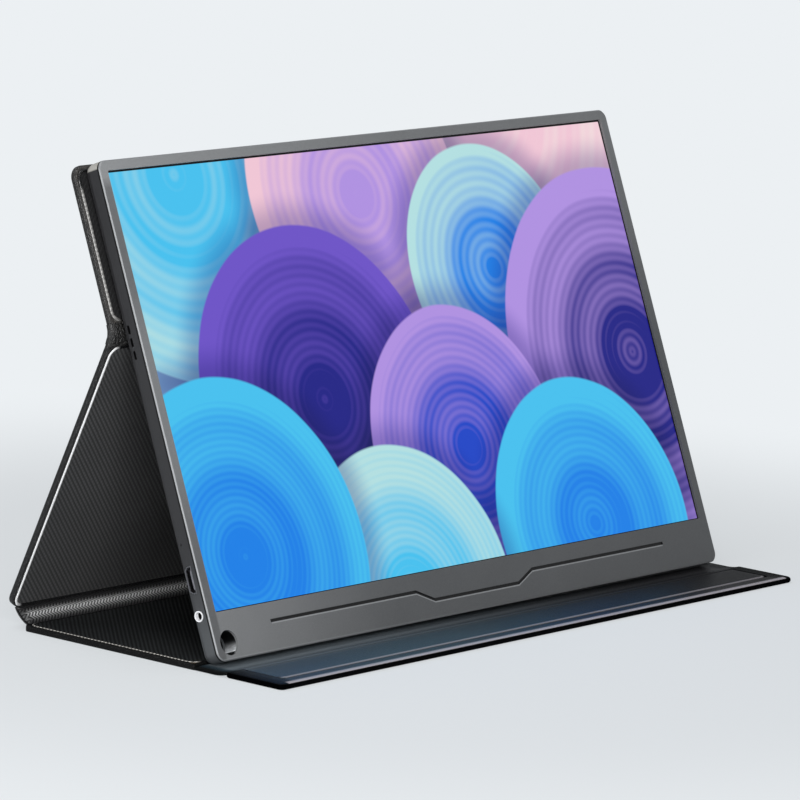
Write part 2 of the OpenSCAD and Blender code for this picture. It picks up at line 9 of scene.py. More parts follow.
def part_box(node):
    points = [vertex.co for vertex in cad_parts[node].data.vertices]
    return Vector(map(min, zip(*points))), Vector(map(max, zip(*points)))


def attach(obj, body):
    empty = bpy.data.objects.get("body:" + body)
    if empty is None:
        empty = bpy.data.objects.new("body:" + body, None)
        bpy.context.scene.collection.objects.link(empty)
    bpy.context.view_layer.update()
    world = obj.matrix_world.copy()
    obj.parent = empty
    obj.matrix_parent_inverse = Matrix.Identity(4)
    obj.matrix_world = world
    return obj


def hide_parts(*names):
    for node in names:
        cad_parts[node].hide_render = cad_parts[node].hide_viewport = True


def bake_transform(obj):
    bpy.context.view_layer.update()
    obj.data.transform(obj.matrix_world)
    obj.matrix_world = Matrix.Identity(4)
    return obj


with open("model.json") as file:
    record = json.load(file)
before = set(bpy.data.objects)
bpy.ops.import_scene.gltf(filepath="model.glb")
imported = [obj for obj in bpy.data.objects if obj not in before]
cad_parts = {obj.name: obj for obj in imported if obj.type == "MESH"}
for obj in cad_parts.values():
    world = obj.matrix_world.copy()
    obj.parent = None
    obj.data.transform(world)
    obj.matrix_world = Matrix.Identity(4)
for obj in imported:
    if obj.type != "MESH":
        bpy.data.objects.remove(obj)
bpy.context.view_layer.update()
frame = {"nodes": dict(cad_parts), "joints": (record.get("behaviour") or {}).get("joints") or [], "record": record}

MM = 0.001

# Places in the side plane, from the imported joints
joint_at = {j["name"]: Vector(j["pos_m"]) for j in frame["joints"] if "pos_m" in j}
TOP_FOLD = joint_at["top_fold"]
LEG_FOLD = joint_at["leg_fold"]
FLOOR_FOLD = joint_at["spine_fold"]
MOUNTS = {m["name"]: m for m in frame["record"]["mounts"]}
DEPTH = -Vector(MOUNTS["pen_hole"]["axis"])
HEIGHT = Vector((0, -DEPTH.z, DEPTH.y))
LEG_DOWN = (LEG_FOLD - TOP_FOLD).normalized()
LEG_OUT = Vector((0, -LEG_DOWN.z, LEG_DOWN.y))

# Cover sizes, as in the part's source
PANEL_T = 2.8 * MM
RIM_W = 1.7 * MM
COVER_W = 367 * MM
CORNER = 6 * MM
FOLD_L = 10 * MM
TOP_L = 69.6 * MM
LEG_L = (LEG_FOLD - TOP_FOLD).length - FOLD_L / 2 - 0.8 * MM
SPINE_W = 355 * MM
SPINE_BULGE = 1.3 * MM

# The monitor's own sizes in millimetres. Across is from its middle, depth is behind its
# front face and up is along the face from its lower edge.
HINGE_DEPTH = 11.2
HINGE_UP = 146.4
COVER_DEPTH = 9.8
COVER_UP = 151.4
BODY_HALF = 178.0
BODY_UP = 220.2
LINE_UP = 13.2
LINE_W = 1.1
LINE_HALF = 139.5
DIP_DROP = 5
DIP_TOP = 41.5
DIP_FOOT = 30
SLOT_UP = 141.4
SLOT_PITCH = 5.6
SLOT_RUN = 1.35
SLOT_DEPTH = 5.4
PEN_ACROSS = -169.2
PEN_UP = 7.5
PEN_R = 5.5
PEN_FLAT = 3.0
PICTURE_W = 344.2
PICTURE_LOW = 21.6
PICTURE_HIGH = 214.8
SEAT = TOP_FOLD - (DEPTH * HINGE_DEPTH + HEIGHT * HINGE_UP) * MM


def frame_matrix(x_axis, y_axis, z_axis, origin):
    """Placement with the given axes and origin."""
    m = Matrix((x_axis, y_axis, z_axis)).transposed().to_4x4()
    m.translation = origin
    return m


# A panel's own frame: X across, Y from the fold to the free end, Z from the lined face
# to the leather face
X = Vector((1, 0, 0))
TOP_PLACE = frame_matrix(X, HEIGHT, DEPTH, SEAT + (DEPTH * COVER_DEPTH + HEIGHT * COVER_UP) * MM)
LEG_PLACE = frame_matrix(X, LEG_DOWN, LEG_OUT,
                         TOP_FOLD + LEG_DOWN * FOLD_L / 2 - LEG_OUT * PANEL_T / 2)
floor_low, floor_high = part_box("floor_leather")
FLOOR_L = floor_high.y - floor_low.y
FLOOR_PLACE = frame_matrix(X, Vector((0, 1, 0)), Vector((0, 0, -1)),
                           Vector((0, floor_low.y, PANEL_T)))
lip_low, lip_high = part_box("lip_leather")
LIP_L = lip_high.y - lip_low.y
LIP_PLACE = frame_matrix(X, Vector((0, -1, 0)), Vector((0, 0, 1)), Vector((0, lip_high.y, 0)))


def srgb(r, g, b):
    """A colour written in 0 to 255 as the screen shows it, in linear light."""
    def linear(c):
        c = c / 255
        return c / 12.92 if c <= 0.04045 else ((c + 0.055) / 1.055) ** 2.4
    return (linear(r), linear(g), linear(b), 1)


class Nodes:
    """Short way to write a material's node tree."""

    def __init__(self, name):
        self.material = bpy.data.materials.new(name)
        self.material.use_nodes = True
        self.tree = self.material.node_tree
        self.tree.nodes.clear()
        self.output = self.tree.nodes.new("ShaderNodeOutputMaterial")
        self.shader = self.tree.nodes.new("ShaderNodeBsdfPrincipled")
        self.tree.links.new(self.shader.outputs[0], self.output.inputs["Surface"])

    def put(self, socket, value):
        if isinstance(value, bpy.types.NodeSocket):
            self.tree.links.new(value, socket)
        else:
            socket.default_value = value

    def set(self, **values):
        for key, value in values.items():
            self.put(self.shader.inputs[key.replace("_", " ")], value)

    def math(self, operation, a, b=0.0, c=0.0, clamp=False):
        node = self.tree.nodes.new("ShaderNodeMath")
        node.operation = operation
        node.use_clamp = clamp
        for socket, value in zip(node.inputs, (a, b, c)):
            self.put(socket, value)
        return node.outputs[0]

    def vector(self, operation, a, b=(0, 0, 0)):
        node = self.tree.nodes.new("ShaderNodeVectorMath")
        node.operation = operation
        self.put(node.inputs[0], a)
        if operation == "SCALE":
            self.put(node.inputs["Scale"], b)
        else:
            self.put(node.inputs[1], b)
        return node.outputs["Value"] if operation in ("DOT_PRODUCT", "LENGTH") else node.outputs[0]

    def split(self, vector):
        node = self.tree.nodes.new("ShaderNodeSeparateXYZ")
        self.put(node.inputs[0], vector)
        return node.outputs

    def join(self, x, y, z=0.0):
        node = self.tree.nodes.new("ShaderNodeCombineXYZ")
        for socket, value in zip(node.inputs, (x, y, z)):
            self.put(socket, value)
        return node.outputs[0]

    def place(self):
        """Coordinates stored on the piece at rest, in millimetres."""
        node = self.tree.nodes.new("ShaderNodeAttribute")
        node.attribute_name = "place"
        return node.outputs["Vector"]

    def wear(self):
        node = self.tree.nodes.new("ShaderNodeAttribute")
        node.attribute_name = "wear"
        return node.outputs["Fac"]

    def object_mm(self):
        node = self.tree.nodes.new("ShaderNodeTexCoord")
        return self.vector("SCALE", node.outputs["Object"], 1000.0)

    def noise(self, vector, scale, detail=2.0, rough=0.5):
        node = self.tree.nodes.new("ShaderNodeTexNoise")
        self.put(node.inputs["Vector"], vector)
        node.inputs["Scale"].default_value = scale
        node.inputs["Detail"].default_value = detail
        node.inputs["Roughness"].default_value = rough
        return node.outputs["Fac"]

    def cells(self, vector, scale, feature="F1", output="Distance"):
        node = self.tree.nodes.new("ShaderNodeTexVoronoi")
        node.feature = feature
        self.put(node.inputs["Vector"], vector)
        node.inputs["Scale"].default_value = scale
        return node.outputs[output]

    def span(self, value, low, high, to_low=0.0, to_high=1.0, smooth=False):
        node = self.tree.nodes.new("ShaderNodeMapRange")
        if smooth:
            node.interpolation_type = "SMOOTHSTEP"
        for socket, v in zip(node.inputs, (value, low, high, to_low, to_high)):
            self.put(socket, v)
        return node.outputs[0]

    def mix(self, factor, a, b, blend="MIX"):
        node = self.tree.nodes.new("ShaderNodeMix")
        node.data_type = "RGBA"
        node.blend_type = blend
        self.put(node.inputs[0], factor)
        self.put(node.inputs[6], a)
        self.put(node.inputs[7], b)
        return node.outputs[2]

    def bump(self, height, distance, strength=1.0):
        node = self.tree.nodes.new("ShaderNodeBump")
        self.put(node.inputs["Height"], height)
        node.inputs["Distance"].default_value = distance
        node.inputs["Strength"].default_value = strength
        self.put(self.shader.inputs["Normal"], node.outputs[0])


def leather(name, dark, light, rough, pebble, depth, coat=0.0, gloss=0.5):
    """Leather: pebbles parted by creases, a slow unevenness, and burnished dark edges."""
    n = Nodes(name)
    place = n.place()
    drift = n.vector("SCALE", n.join(n.noise(place, 0.35), n.noise(place, 0.41)), 1.6)
    at = n.vector("ADD", place, drift)
    crease = n.cells(at, 1 / pebble, "DISTANCE_TO_EDGE")
    pebbles = n.span(crease, 0.0, 0.30, smooth=True)
    fine = n.noise(place, 4.5 / pebble, 3.0)
    slow = n.noise(place, 0.035, 2.0)
    tone = n.math("MULTIPLY_ADD", pebbles, 0.45, n.math("MULTIPLY", fine, 0.35))
    tone = n.math("MULTIPLY_ADD", slow, 0.35, tone)
    worn = n.math("MULTIPLY", n.span(n.wear(), 0.45, 1.0), n.span(fine, 0.30, 0.6, 0.6, 1.0),
                  clamp=True)
    colour = n.mix(tone, dark, light)
    n.set(Base_Color=n.mix(n.math("MULTIPLY", worn, 0.85), colour, srgb(7, 7, 7)))
    uneven = n.span(n.math("ADD", fine, pebbles), 0.3, 1.7, rough + 0.10, rough - 0.08)
    n.set(Roughness=n.math("SUBTRACT", uneven, n.math("MULTIPLY", worn, 0.05)))
    n.set(Coat_Weight=coat, Coat_Roughness=0.25, Specular_IOR_Level=gloss)
    height = n.math("MULTIPLY_ADD", pebbles, 0.75, n.math("MULTIPLY", fine, 0.35))
    n.bump(n.math("MULTIPLY_ADD", slow, 2.5, height), depth)
    return n.material


def twill(name, dark, light, pitch, rough=0.5, sheen=0.15, gloss=0.5, deep_shade_level=1.0):
    """Woven lining: slanting ribs made of short floats, with painted shade deep inside the stand.
    Its last argument is how light the painted shade leaves it there."""
    n = Nodes(name)
    u, v, _ = n.split(n.place())
    wobble = n.math("MULTIPLY", n.math("SUBTRACT", n.noise(n.place(), 0.25), 0.5), 0.35)
    slant = n.math("ADD", n.math("SUBTRACT", u, v), wobble)
    line = n.math("DIVIDE", slant, pitch)
    rib = n.math("MULTIPLY_ADD", n.math("SINE", n.math("MULTIPLY", line, math.tau)), 0.5, 0.5)
    shift = n.math("MULTIPLY", n.math("FLOOR", line), 0.37)
    along = n.math("ADD", n.math("DIVIDE", n.math("ADD", u, v), pitch * 1.15), shift)
    floats = n.math("MULTIPLY_ADD", n.math("SINE", n.math("MULTIPLY", along, math.tau)), 0.5, 0.5)
    height = n.math("MULTIPLY", rib, n.math("MULTIPLY_ADD", floats, 0.4, 0.6))
    hair = n.noise(n.place(), 6.0, 3.0)
    cloud = n.noise(n.place(), 0.02, 2.0)
    tone = n.math("MULTIPLY_ADD", hair, 0.25, n.math("MULTIPLY", height, 0.75))
    tone = n.math("MULTIPLY", tone, n.span(cloud, 0.3, 0.7, 0.75, 1.15))
    # Painted shade: the lining darkens to the right and down the leg, deep inside the stand.
    inward = n.math("MULTIPLY_ADD", n.math("SUBTRACT", v, 40.0), 0.5, n.math("ADD", u, 183.0))
    tone = n.math("MULTIPLY", tone, n.span(inward, 60.0, 130.0, 1.0, deep_shade_level, smooth=True))
    n.set(Base_Color=n.mix(tone, dark, light))
    n.set(Roughness=n.span(height, 0.0, 1.0, rough + 0.2, rough))
    n.set(Sheen_Weight=sheen, Sheen_Roughness=0.4, Specular_IOR_Level=gloss)
    n.bump(n.math("MULTIPLY_ADD", hair, 0.2, height), 0.00018)
    return n.material


def ribbed_roll(name, ridge, spread):
    """Herringbone lining stretched over the roll, with a painted highlight along its ridge that fades near its
    ends.
    """
    n = Nodes(name)
    u, v, _ = n.split(n.place())
    across = n.math("PINGPONG", n.math("ADD", v, 40.0), 1.9)
    line = n.math("DIVIDE", n.math("SUBTRACT", u, across), 2.0)
    rib = n.math("MULTIPLY_ADD", n.math("SINE", n.math("MULTIPLY", line, math.tau)), 0.5, 0.5)
    hair = n.noise(n.place(), 6.0, 3.0)
    # Painted highlight: a bright band along the roll's ridge, dimmed near the ends.
    off = n.math("DIVIDE", n.math("SUBTRACT", v, ridge), spread)
    glow = n.math("EXPONENT", n.math("MULTIPLY", n.math("MULTIPLY", off, off), -1.0))
    low = n.mix(rib, srgb(6, 6, 7), srgb(44, 44, 45))
    high = n.mix(rib, srgb(34, 34, 35), srgb(250, 250, 250))
    tone = n.math("MULTIPLY", glow, n.span(hair, 0.25, 0.7, 0.75, 1.0))
    half = SPINE_W / MM / 2
    near_end = n.span(n.math("ABSOLUTE", u), half - 3.2, half - 0.6, 1.0, 0.12)
    tone = n.math("MULTIPLY", tone, near_end)
    n.set(Base_Color=n.mix(tone, low, high), Roughness=n.span(rib, 0.0, 1.0, 0.6, 0.35))
    n.bump(n.math("MULTIPLY_ADD", hair, 0.2, rib), 0.00016)
    return n.material


def grained(name, colour, metallic, rough, grain_mm, depth, spread=0.12, coat=0.0):
    """Blasted metal, moulded plastic or paint: an even grain with a faint slow change."""
    n = Nodes(name)
    at = n.object_mm()
    fine = n.noise(at, 1 / grain_mm, 3.0, 0.65)
    slow = n.noise(at, 0.03, 2.0)
    low = tuple(c * (1 - spread) for c in colour[:3]) + (1,)
    high = tuple(min(1, c * (1 + spread)) for c in colour[:3]) + (1,)
    tone = n.math("MULTIPLY_ADD", slow, 0.4, n.span(fine, 0.3, 0.7, 0.0, 0.6))
    n.set(Base_Color=n.mix(tone, low, high), Metallic=metallic)
    n.set(Roughness=n.span(fine, 0.3, 0.7, rough - 0.05, rough + 0.06))
    n.set(Coat_Weight=coat, Coat_Roughness=0.1)
    n.bump(fine, depth)
    return n.material


def body_place(n):
    """Distance across, depth behind the front face and height in the monitor, in mm."""
    at = n.vector("SUBTRACT", n.object_mm(), tuple(SEAT / MM))
    across = n.split(at)[0]
    depth = n.vector("DOT_PRODUCT", at, tuple(DEPTH))
    up = n.vector("DOT_PRODUCT", at, tuple(HEIGHT))
    return at, across, depth, up


def frame_material():
    """Blasted dark metal with a bright cut chamfer and a dark seam behind it. Painted light makes it
    lighter at the left and along the top. Painted shade darkens the left bezel above and below its
    middle, the recessed line's floor, a band round the line and a sliver at the pen hole, and
    painted highlights run under the line and along the lower edge."""
    n = Nodes("frame_metal")
    at, across, depth, up = body_place(n)
    fine = n.noise(at, 2.6, 3.0, 0.65)
    slow = n.noise(at, 0.03, 2.0)
    tone = n.math("MULTIPLY_ADD", slow, 0.4, n.span(fine, 0.3, 0.7, 0.0, 0.6))
    face = n.mix(tone, srgb(92, 94, 96), srgb(126, 128, 130))
    # Painted light: lighter at the left and along the top, darker towards the right.
    lit_share = n.span(across, -178.0, -40.0, 1.0, 0.0, smooth=True)
    high = n.math("MULTIPLY", n.span(up, 110.0, 214.0, 0.06, 1.0),
                  n.span(across, -172.0, 20.0, 1.0, 0.5))
    lit_share = n.math("MAXIMUM", n.math("MULTIPLY", lit_share, 0.58), high)
    face = n.mix(lit_share, n.mix(0.36, face, srgb(20, 20, 21)), n.mix(0.18, face, srgb(255, 255, 255)))
    # Painted shade on the left bezel above and below its middle.
    from_middle = n.math("ABSOLUTE", n.math("SUBTRACT", up, 115.0))
    bezel_shade = n.math("MULTIPLY", n.span(from_middle, 15.0, 75.0, smooth=True),
                 n.span(up, 208.0, 213.0, 1.0, 0.0))
    bezel_shade = n.math("MULTIPLY", bezel_shade, n.span(across, -173.5, -172.5, 0.42, 0.0))
    face = n.mix(bezel_shade, face, srgb(24, 24, 26))
    wide = n.math("ABSOLUTE", across)
    line = n.span(wide, DIP_FOOT, DIP_TOP, LINE_UP - DIP_DROP, LINE_UP)
    below = n.math("SUBTRACT", n.math("SUBTRACT", line, up), LINE_W / 2)
    # Painted highlights: a light line just under the recessed line, and another along the lowest millimetre at the
    # left.
    glint = n.math("MULTIPLY", n.span(below, 0.15, 0.25), n.span(below, 0.65, 0.85, 1.0, 0.0))
    glint = n.math("MULTIPLY", glint, n.span(wide, LINE_HALF, LINE_HALF + 0.3, 1.0, 0.0))
    hem_highlight = n.math("MULTIPLY", n.span(up, 0.5, 1.1, 1.0, 0.0), n.span(across, -175.0, 20.0, 1.0, 0.0))
    glint = n.math("MAXIMUM", n.math("MULTIPLY", glint, 0.6), n.math("MULTIPLY", hem_highlight, 0.45))
    face = n.mix(glint, face, srgb(176, 178, 180))
    ends = n.math("MAXIMUM", n.span(up, 1.9, 2.0, 1.0, 0.0),
                  n.span(up, BODY_UP - 2.1, BODY_UP - 2.0))
    beyond = n.math("MAXIMUM", n.span(wide, BODY_HALF - 2.0, BODY_HALF - 1.9), ends)
    chamfer = n.math("MULTIPLY", beyond, n.math("MULTIPLY", n.span(depth, 0.02, 0.06),
                                                n.span(depth, 0.50, 0.53, 1.0, 0.0)))
    seam = n.math("MULTIPLY", beyond, n.span(depth, 0.53, 0.56))
    # Painted shade: black on the recessed line's floor, in a band round the line and in a sliver at the pen hole's
    # rim.
    recess_shade = n.math("MULTIPLY", n.span(depth, 0.02, 0.12),
                  n.math("MULTIPLY", n.span(up, 6.0, 6.1), n.span(up, 14.8, 14.9, 1.0, 0.0)))
    recess_shade = n.math("MULTIPLY", recess_shade, n.span(wide, 141.0, 141.1, 1.0, 0.0))
    pen = n.vector("LENGTH", n.join(n.math("SUBTRACT", across, PEN_ACROSS),
                                    n.math("SUBTRACT", up, PEN_UP)))
    sliver = n.math("MULTIPLY", n.span(pen, PEN_R - 0.02, PEN_R + 0.02, 1.0, 0.0),
                    n.span(up, PEN_FLAT - 0.22, PEN_FLAT - 0.18, 1.0, 0.0))
    recess_shade = n.math("MAXIMUM", recess_shade, sliver)
    band = n.math("ABSOLUTE", n.math("SUBTRACT", up, line))
    band = n.math("MULTIPLY", n.span(band, LINE_W / 2 + 0.12, LINE_W / 2 + 0.2, 1.0, 0.0),
                  n.span(wide, LINE_HALF + 0.5, LINE_HALF + 0.7, 1.0, 0.0))
    recess_shade = n.math("MAXIMUM", recess_shade, band)
    cut = n.mix(chamfer, face, srgb(140, 142, 144))
    dark = n.math("MAXIMUM", seam, recess_shade)
    n.set(Base_Color=n.mix(dark, cut, srgb(12, 12, 13)), Metallic=0.2)
    n.set(Roughness=n.span(fine, 0.3, 0.7, 0.44, 0.54))
    n.bump(n.math("MULTIPLY", fine, n.math("SUBTRACT", 1.0, chamfer)), 0.00002)
    return n.material


def shell_material():
    """Satin charcoal with a fine grain, with painted light at its foot and a painted highlight on the
    rounded corner at the top. Painted shade darkens its inner faces and a rim round the openings
    in its walls, and the joint with the frame is dark."""
    n = Nodes("shell_metal")
    at, across, depth, up = body_place(n)
    fine = n.noise(at, 3.0, 3.0, 0.65)
    slow = n.noise(at, 0.025, 2.0)
    tone = n.math("MULTIPLY_ADD", slow, 0.5, n.span(fine, 0.3, 0.7, 0.0, 0.5))
    paint = n.mix(tone, srgb(40, 40, 42), srgb(58, 58, 60))
    # Painted light: lighter towards the foot.
    paint = n.mix(n.span(up, 0.0, 50.0, 0.22, 0.0, smooth=True), paint, srgb(150, 156, 160))
    wall = n.math("ABSOLUTE", across)
    # Painted highlight on the rounded top corner, where the light catches it.
    corner = n.math("MULTIPLY", n.span(up, BODY_UP - 3.6, BODY_UP - 3.0),
                    n.span(wall, BODY_HALF - 5.5, BODY_HALF - 4.5))
    corner = n.math("MULTIPLY", corner, n.span(depth, 7.6, 7.8, 1.0, 0.0))
    paint = n.mix(corner, paint, srgb(176, 174, 168))
    # Painted shade on the inner faces and round the wall's openings; the joint with the frame is dark.
    inner = n.math("MULTIPLY", n.span(wall, BODY_HALF - 0.25, BODY_HALF - 0.15, 1.0, 0.0),
                   n.span(depth, 6.0, 6.1, 1.0, 0.0))
    inner = n.math("MULTIPLY", inner, n.math("MULTIPLY", n.span(up, 5.0, 5.1),
                                             n.span(up, 215.0, 215.1, 1.0, 0.0)))
    step = n.math("SUBTRACT", n.math("ABSOLUTE", n.math("SUBTRACT", up, SLOT_UP)), SLOT_PITCH)
    near = n.math("MINIMUM", n.math("ABSOLUTE", step), n.math("ADD", step, SLOT_PITCH))
    along = n.math("MAXIMUM", n.math("SUBTRACT", near, SLOT_RUN), 0.0)
    aside = n.math("SUBTRACT", depth, SLOT_DEPTH)
    away = n.vector("LENGTH", n.join(along, aside))
    slot = n.math("MULTIPLY", n.span(away, 0.66, 0.76, 1.0, 0.0), n.span(wall, 170.0, 171.0))
    shade = n.math("MAXIMUM", n.math("MAXIMUM", inner, slot), n.span(depth, 1.35, 1.5, 1.0, 0.0))
    n.set(Base_Color=n.mix(shade, paint, srgb(3, 3, 4)), Metallic=0.15)
    n.set(Roughness=n.span(fine, 0.3, 0.7, 0.42, 0.54))
    n.bump(fine, 0.00004)
    return n.material


def sleeve_material():
    """Moulded tunnel of the pen hole, with painted light low in it and a painted highlight line near
    its floor, black under that line, and painted shade on its roof and deeper in.
    """
    n = Nodes("sleeve_plastic")
    at, _, depth, up = body_place(n)
    fine = n.noise(n.vector("MULTIPLY", at, (6.0, 0.5, 0.5)), 1.0, 2.0)
    # Painted light low in the tunnel, painted shade towards its roof.
    low = n.span(up, 4.0, 9.4, 1.0, 0.0, smooth=True)
    tone = n.math("MULTIPLY", n.math("POWER", low, 2.0), n.span(fine, 0.3, 0.7, 0.55, 0.9))
    # Painted highlight line near the floor, black below it.
    edge = n.math("MULTIPLY", n.span(up, 4.1, 4.2, 1.0, 0.0), n.span(up, 3.5, 3.6))
    tone = n.math("MULTIPLY", n.math("MAXIMUM", tone, edge), n.span(up, 3.5, 3.6))
    # Painted shade deeper in the tunnel.
    tone = n.math("MULTIPLY", tone, n.span(depth, 6.5, 9.5, 1.0, 0.45))
    n.set(Base_Color=n.mix(tone, srgb(3, 3, 4), srgb(222, 225, 228)))
    n.set(Roughness=0.5, Metallic=0.0, Specular_IOR_Level=0.2)
    n.bump(fine, 0.00003)
    return n.material


def brushed(name, colour, rough, axis):
    """Metal with fine lines along one axis."""
    n = Nodes(name)
    stretch = [14.0, 14.0, 14.0]
    stretch[axis] = 0.4
    lines = n.noise(n.vector("MULTIPLY", n.object_mm(), tuple(stretch)), 1.0, 3.0)
    low = tuple(c * 0.8 for c in colour[:3]) + (1,)
    n.set(Base_Color=n.mix(lines, low, colour), Metallic=1.0)
    n.set(Roughness=n.span(lines, 0.3, 0.7, rough - 0.05, rough + 0.08))
    n.bump(lines, 0.00002)
    return n.material


def circuit_board(name):
    """Green mask over copper tracks, with bare pads."""
    n = Nodes(name)
    at = n.object_mm()
    track = n.cells(n.vector("MULTIPLY", at, (0.5, 0.0, 0.5)), 1.0, "DISTANCE_TO_EDGE")
    mask = n.span(track, 0.03, 0.06)
    pads = n.cells(n.vector("MULTIPLY", at, (0.35, 0.0, 0.35)), 1.0)
    pad = n.span(pads, 0.10, 0.13)
    green = n.mix(mask, srgb(32, 108, 62), srgb(14, 72, 40))
    n.set(Base_Color=n.mix(pad, srgb(196, 170, 92), green))
    n.set(Metallic=n.span(pads, 0.10, 0.13, 0.9, 0.0))
    n.set(Roughness=n.span(n.noise(at, 2.0), 0.3, 0.7, 0.3, 0.45))
    n.bump(mask, 0.00004)
    return n.material


def fibreboard(name):
    """Pressed brown fibres under the leather."""
    n = Nodes(name)
    at = n.object_mm()
    fibres = n.noise(n.vector("MULTIPLY", at, (0.7, 3.0, 3.0)), 1.0, 4.0, 0.7)
    flecks = n.cells(at, 0.9)
    tone = n.math("MULTIPLY_ADD", flecks, 0.4, n.math("MULTIPLY", fibres, 0.8))
    n.set(Base_Color=n.mix(tone, srgb(84, 66, 48), srgb(176, 148, 110)), Roughness=0.85)
    n.bump(fibres, 0.00008)
    return n.material


def foam(name):
    """Dark closed-cell foam of the mounting pad."""
    n = Nodes(name)
    at = n.object_mm()
    pores = n.cells(at, 2.2)
    n.set(Base_Color=n.mix(pores, srgb(12, 12, 12), srgb(46, 46, 46)), Roughness=0.9)
    n.bump(pores, 0.0001)
    return n.material


def smooth_leather(name, flap):
    """Calendered leather of the front flap, or of the strip in the groove. Painted light and reflection
    make it blue-grey at the left and black at the right, painted light makes it lighter near the
    monitor's foot, and painted shade makes it black past the monitor's ends."""
    n = Nodes(name)
    place = n.place()
    x, y, _ = n.split(place)
    wide = n.math("ABSOLUTE", x)
    crease = n.cells(place, 1 / 0.6, "DISTANCE_TO_EDGE")
    pebbles = n.span(crease, 0.0, 0.30, smooth=True)
    fine = n.noise(place, 6.0, 3.0)
    slow = n.noise(n.vector("MULTIPLY", place, (0.02, 0.06, 0.0)), 1.0, 2.0)
    tone = n.math("MULTIPLY_ADD", slow, 0.5, n.math("MULTIPLY", fine, 0.3))
    tone = n.math("MULTIPLY_ADD", pebbles, 0.3, tone)
    # Painted light and reflection: blue-grey at the left, black at the right.
    left = n.mix(tone, srgb(40, 52, 60), srgb(62, 78, 88))
    right = n.mix(tone, srgb(8, 8, 9), srgb(20, 20, 22))
    colour = n.mix(n.span(x, -150.0, 150.0, smooth=True), left, right)
    # Painted light near the monitor's foot against its shade, stronger on the groove's strip, and painted shade
    # past the monitor's ends.
    back = n.span(y, 0.0, 8.0, 1.0, 0.0, smooth=True) if flap else 1.0
    rightward = n.span(x, -170.0, 130.0, smooth=True)
    lift = n.mix(rightward, srgb(84, 92, 98), srgb(28, 28, 30))
    if not flap:
        bright = n.mix(rightward, srgb(112, 120, 126), srgb(48, 48, 50))
        lift = n.mix(n.span(y, 12.0, 16.0, smooth=True), bright, lift)
    under = n.span(wide, 174.0, 178.0, 1.0, 0.0, smooth=True)
    colour = n.mix(n.math("MULTIPLY", n.math("MULTIPLY", back, under), 0.85), colour, lift)
    colour = n.mix(n.span(wide, 175.0, 182.0, smooth=True), colour, srgb(6, 7, 8))
    polish = n.span(x, -40.0, 165.0, 0.30, 0.10)
    polish = n.math("MULTIPLY", polish, n.span(wide, 171.0, 179.0, 1.0, 0.3))
    if flap:
        colour, polish = flap_marks(n, place, tone, colour, polish)
    n.set(Base_Color=colour, Specular_IOR_Level=polish)
    n.set(Roughness=n.span(n.math("ADD", fine, pebbles), 0.3, 1.7, 0.42, 0.30))
    n.bump(n.math("ADD", pebbles, fine), 0.00004)
    return n.material


def flap_marks(n, place, tone, colour, polish):
    """Colour and polish of the flap with its pressed line, painted light on the line at the front and
    painted shade on it along the sides, the dull bands outside the line, painted shade in the hollow
    between the line and the front edge, a painted highlight along the front edge, the black cut
    sides and the plain underside."""
    x, y, z = n.split(place)
    wide = n.math("ABSOLUTE", x)
    end = LIP_L / MM
    half = COVER_W / MM / 2
    line_side = 9.4
    line_front = 9.0
    line_corner = 4.0
    over = n.math("MAXIMUM", n.math("SUBTRACT", wide, half - line_side - line_corner), 0.0)
    ahead = n.math("MAXIMUM", n.math("SUBTRACT", y, end - line_front - line_corner), 0.0)
    from_line = n.math("SUBTRACT", n.vector("LENGTH", n.join(over, ahead)), line_corner)
    band = n.math("MULTIPLY", n.span(from_line, 0.0, 0.5), n.span(over, 3.0, 4.0))
    colour = n.mix(n.math("MULTIPLY", band, 0.75), colour, srgb(10, 11, 12))
    # Painted light on the pressed line at the front, painted shade on it along the sides.
    press = n.span(n.math("ABSOLUTE", from_line), 0.30, 1.0, 1.0, 0.0, smooth=True)
    lit = n.span(n.math("SUBTRACT", ahead, over), -1.0, 2.5, smooth=True)
    mark = n.mix(lit, srgb(12, 13, 14), srgb(150, 146, 150))
    colour = n.mix(n.math("MULTIPLY", press, n.span(lit, 0.0, 1.0, 0.85, 0.60)), colour, mark)
    # Painted shade in the hollow between the pressed line and the front edge.
    hollow = n.math("MULTIPLY", n.span(from_line, 1.0, 1.8, smooth=True),
                    n.span(from_line, 4.6, 6.6, 1.0, 0.0, smooth=True))
    hollow = n.math("MULTIPLY", hollow, n.span(over, 1.0, 3.0, 0.45, 0.0))
    colour = n.mix(hollow, colour, srgb(20, 20, 24))
    # Painted highlight along the top of the front edge.
    rim = n.math("MULTIPLY", n.span(y, end - 3.6, end - 1.6, smooth=True),
                 n.span(z, 2.15, 2.45))
    rim = n.math("MULTIPLY", rim, n.span(wide, half - 5.2, half - 4.4, 1.0, 0.0))
    colour = n.mix(n.math("MULTIPLY", rim, 0.85), colour, srgb(178, 172, 176))
    cut = n.span(z, 2.40, 2.65, 1.0, 0.0)
    colour = n.mix(cut, colour, srgb(2, 2, 3))
    raised = n.span(z, 0.15, 0.35)
    colour = n.mix(raised, n.mix(tone, srgb(18, 18, 19), srgb(38, 38, 40)), colour)
    dull = n.math("MULTIPLY", raised, n.math("MAXIMUM", cut, n.math("MULTIPLY", band, 0.5)))
    return colour, n.math("MULTIPLY", polish, n.span(dull, 0.0, 1.0, 1.0, 0.05))


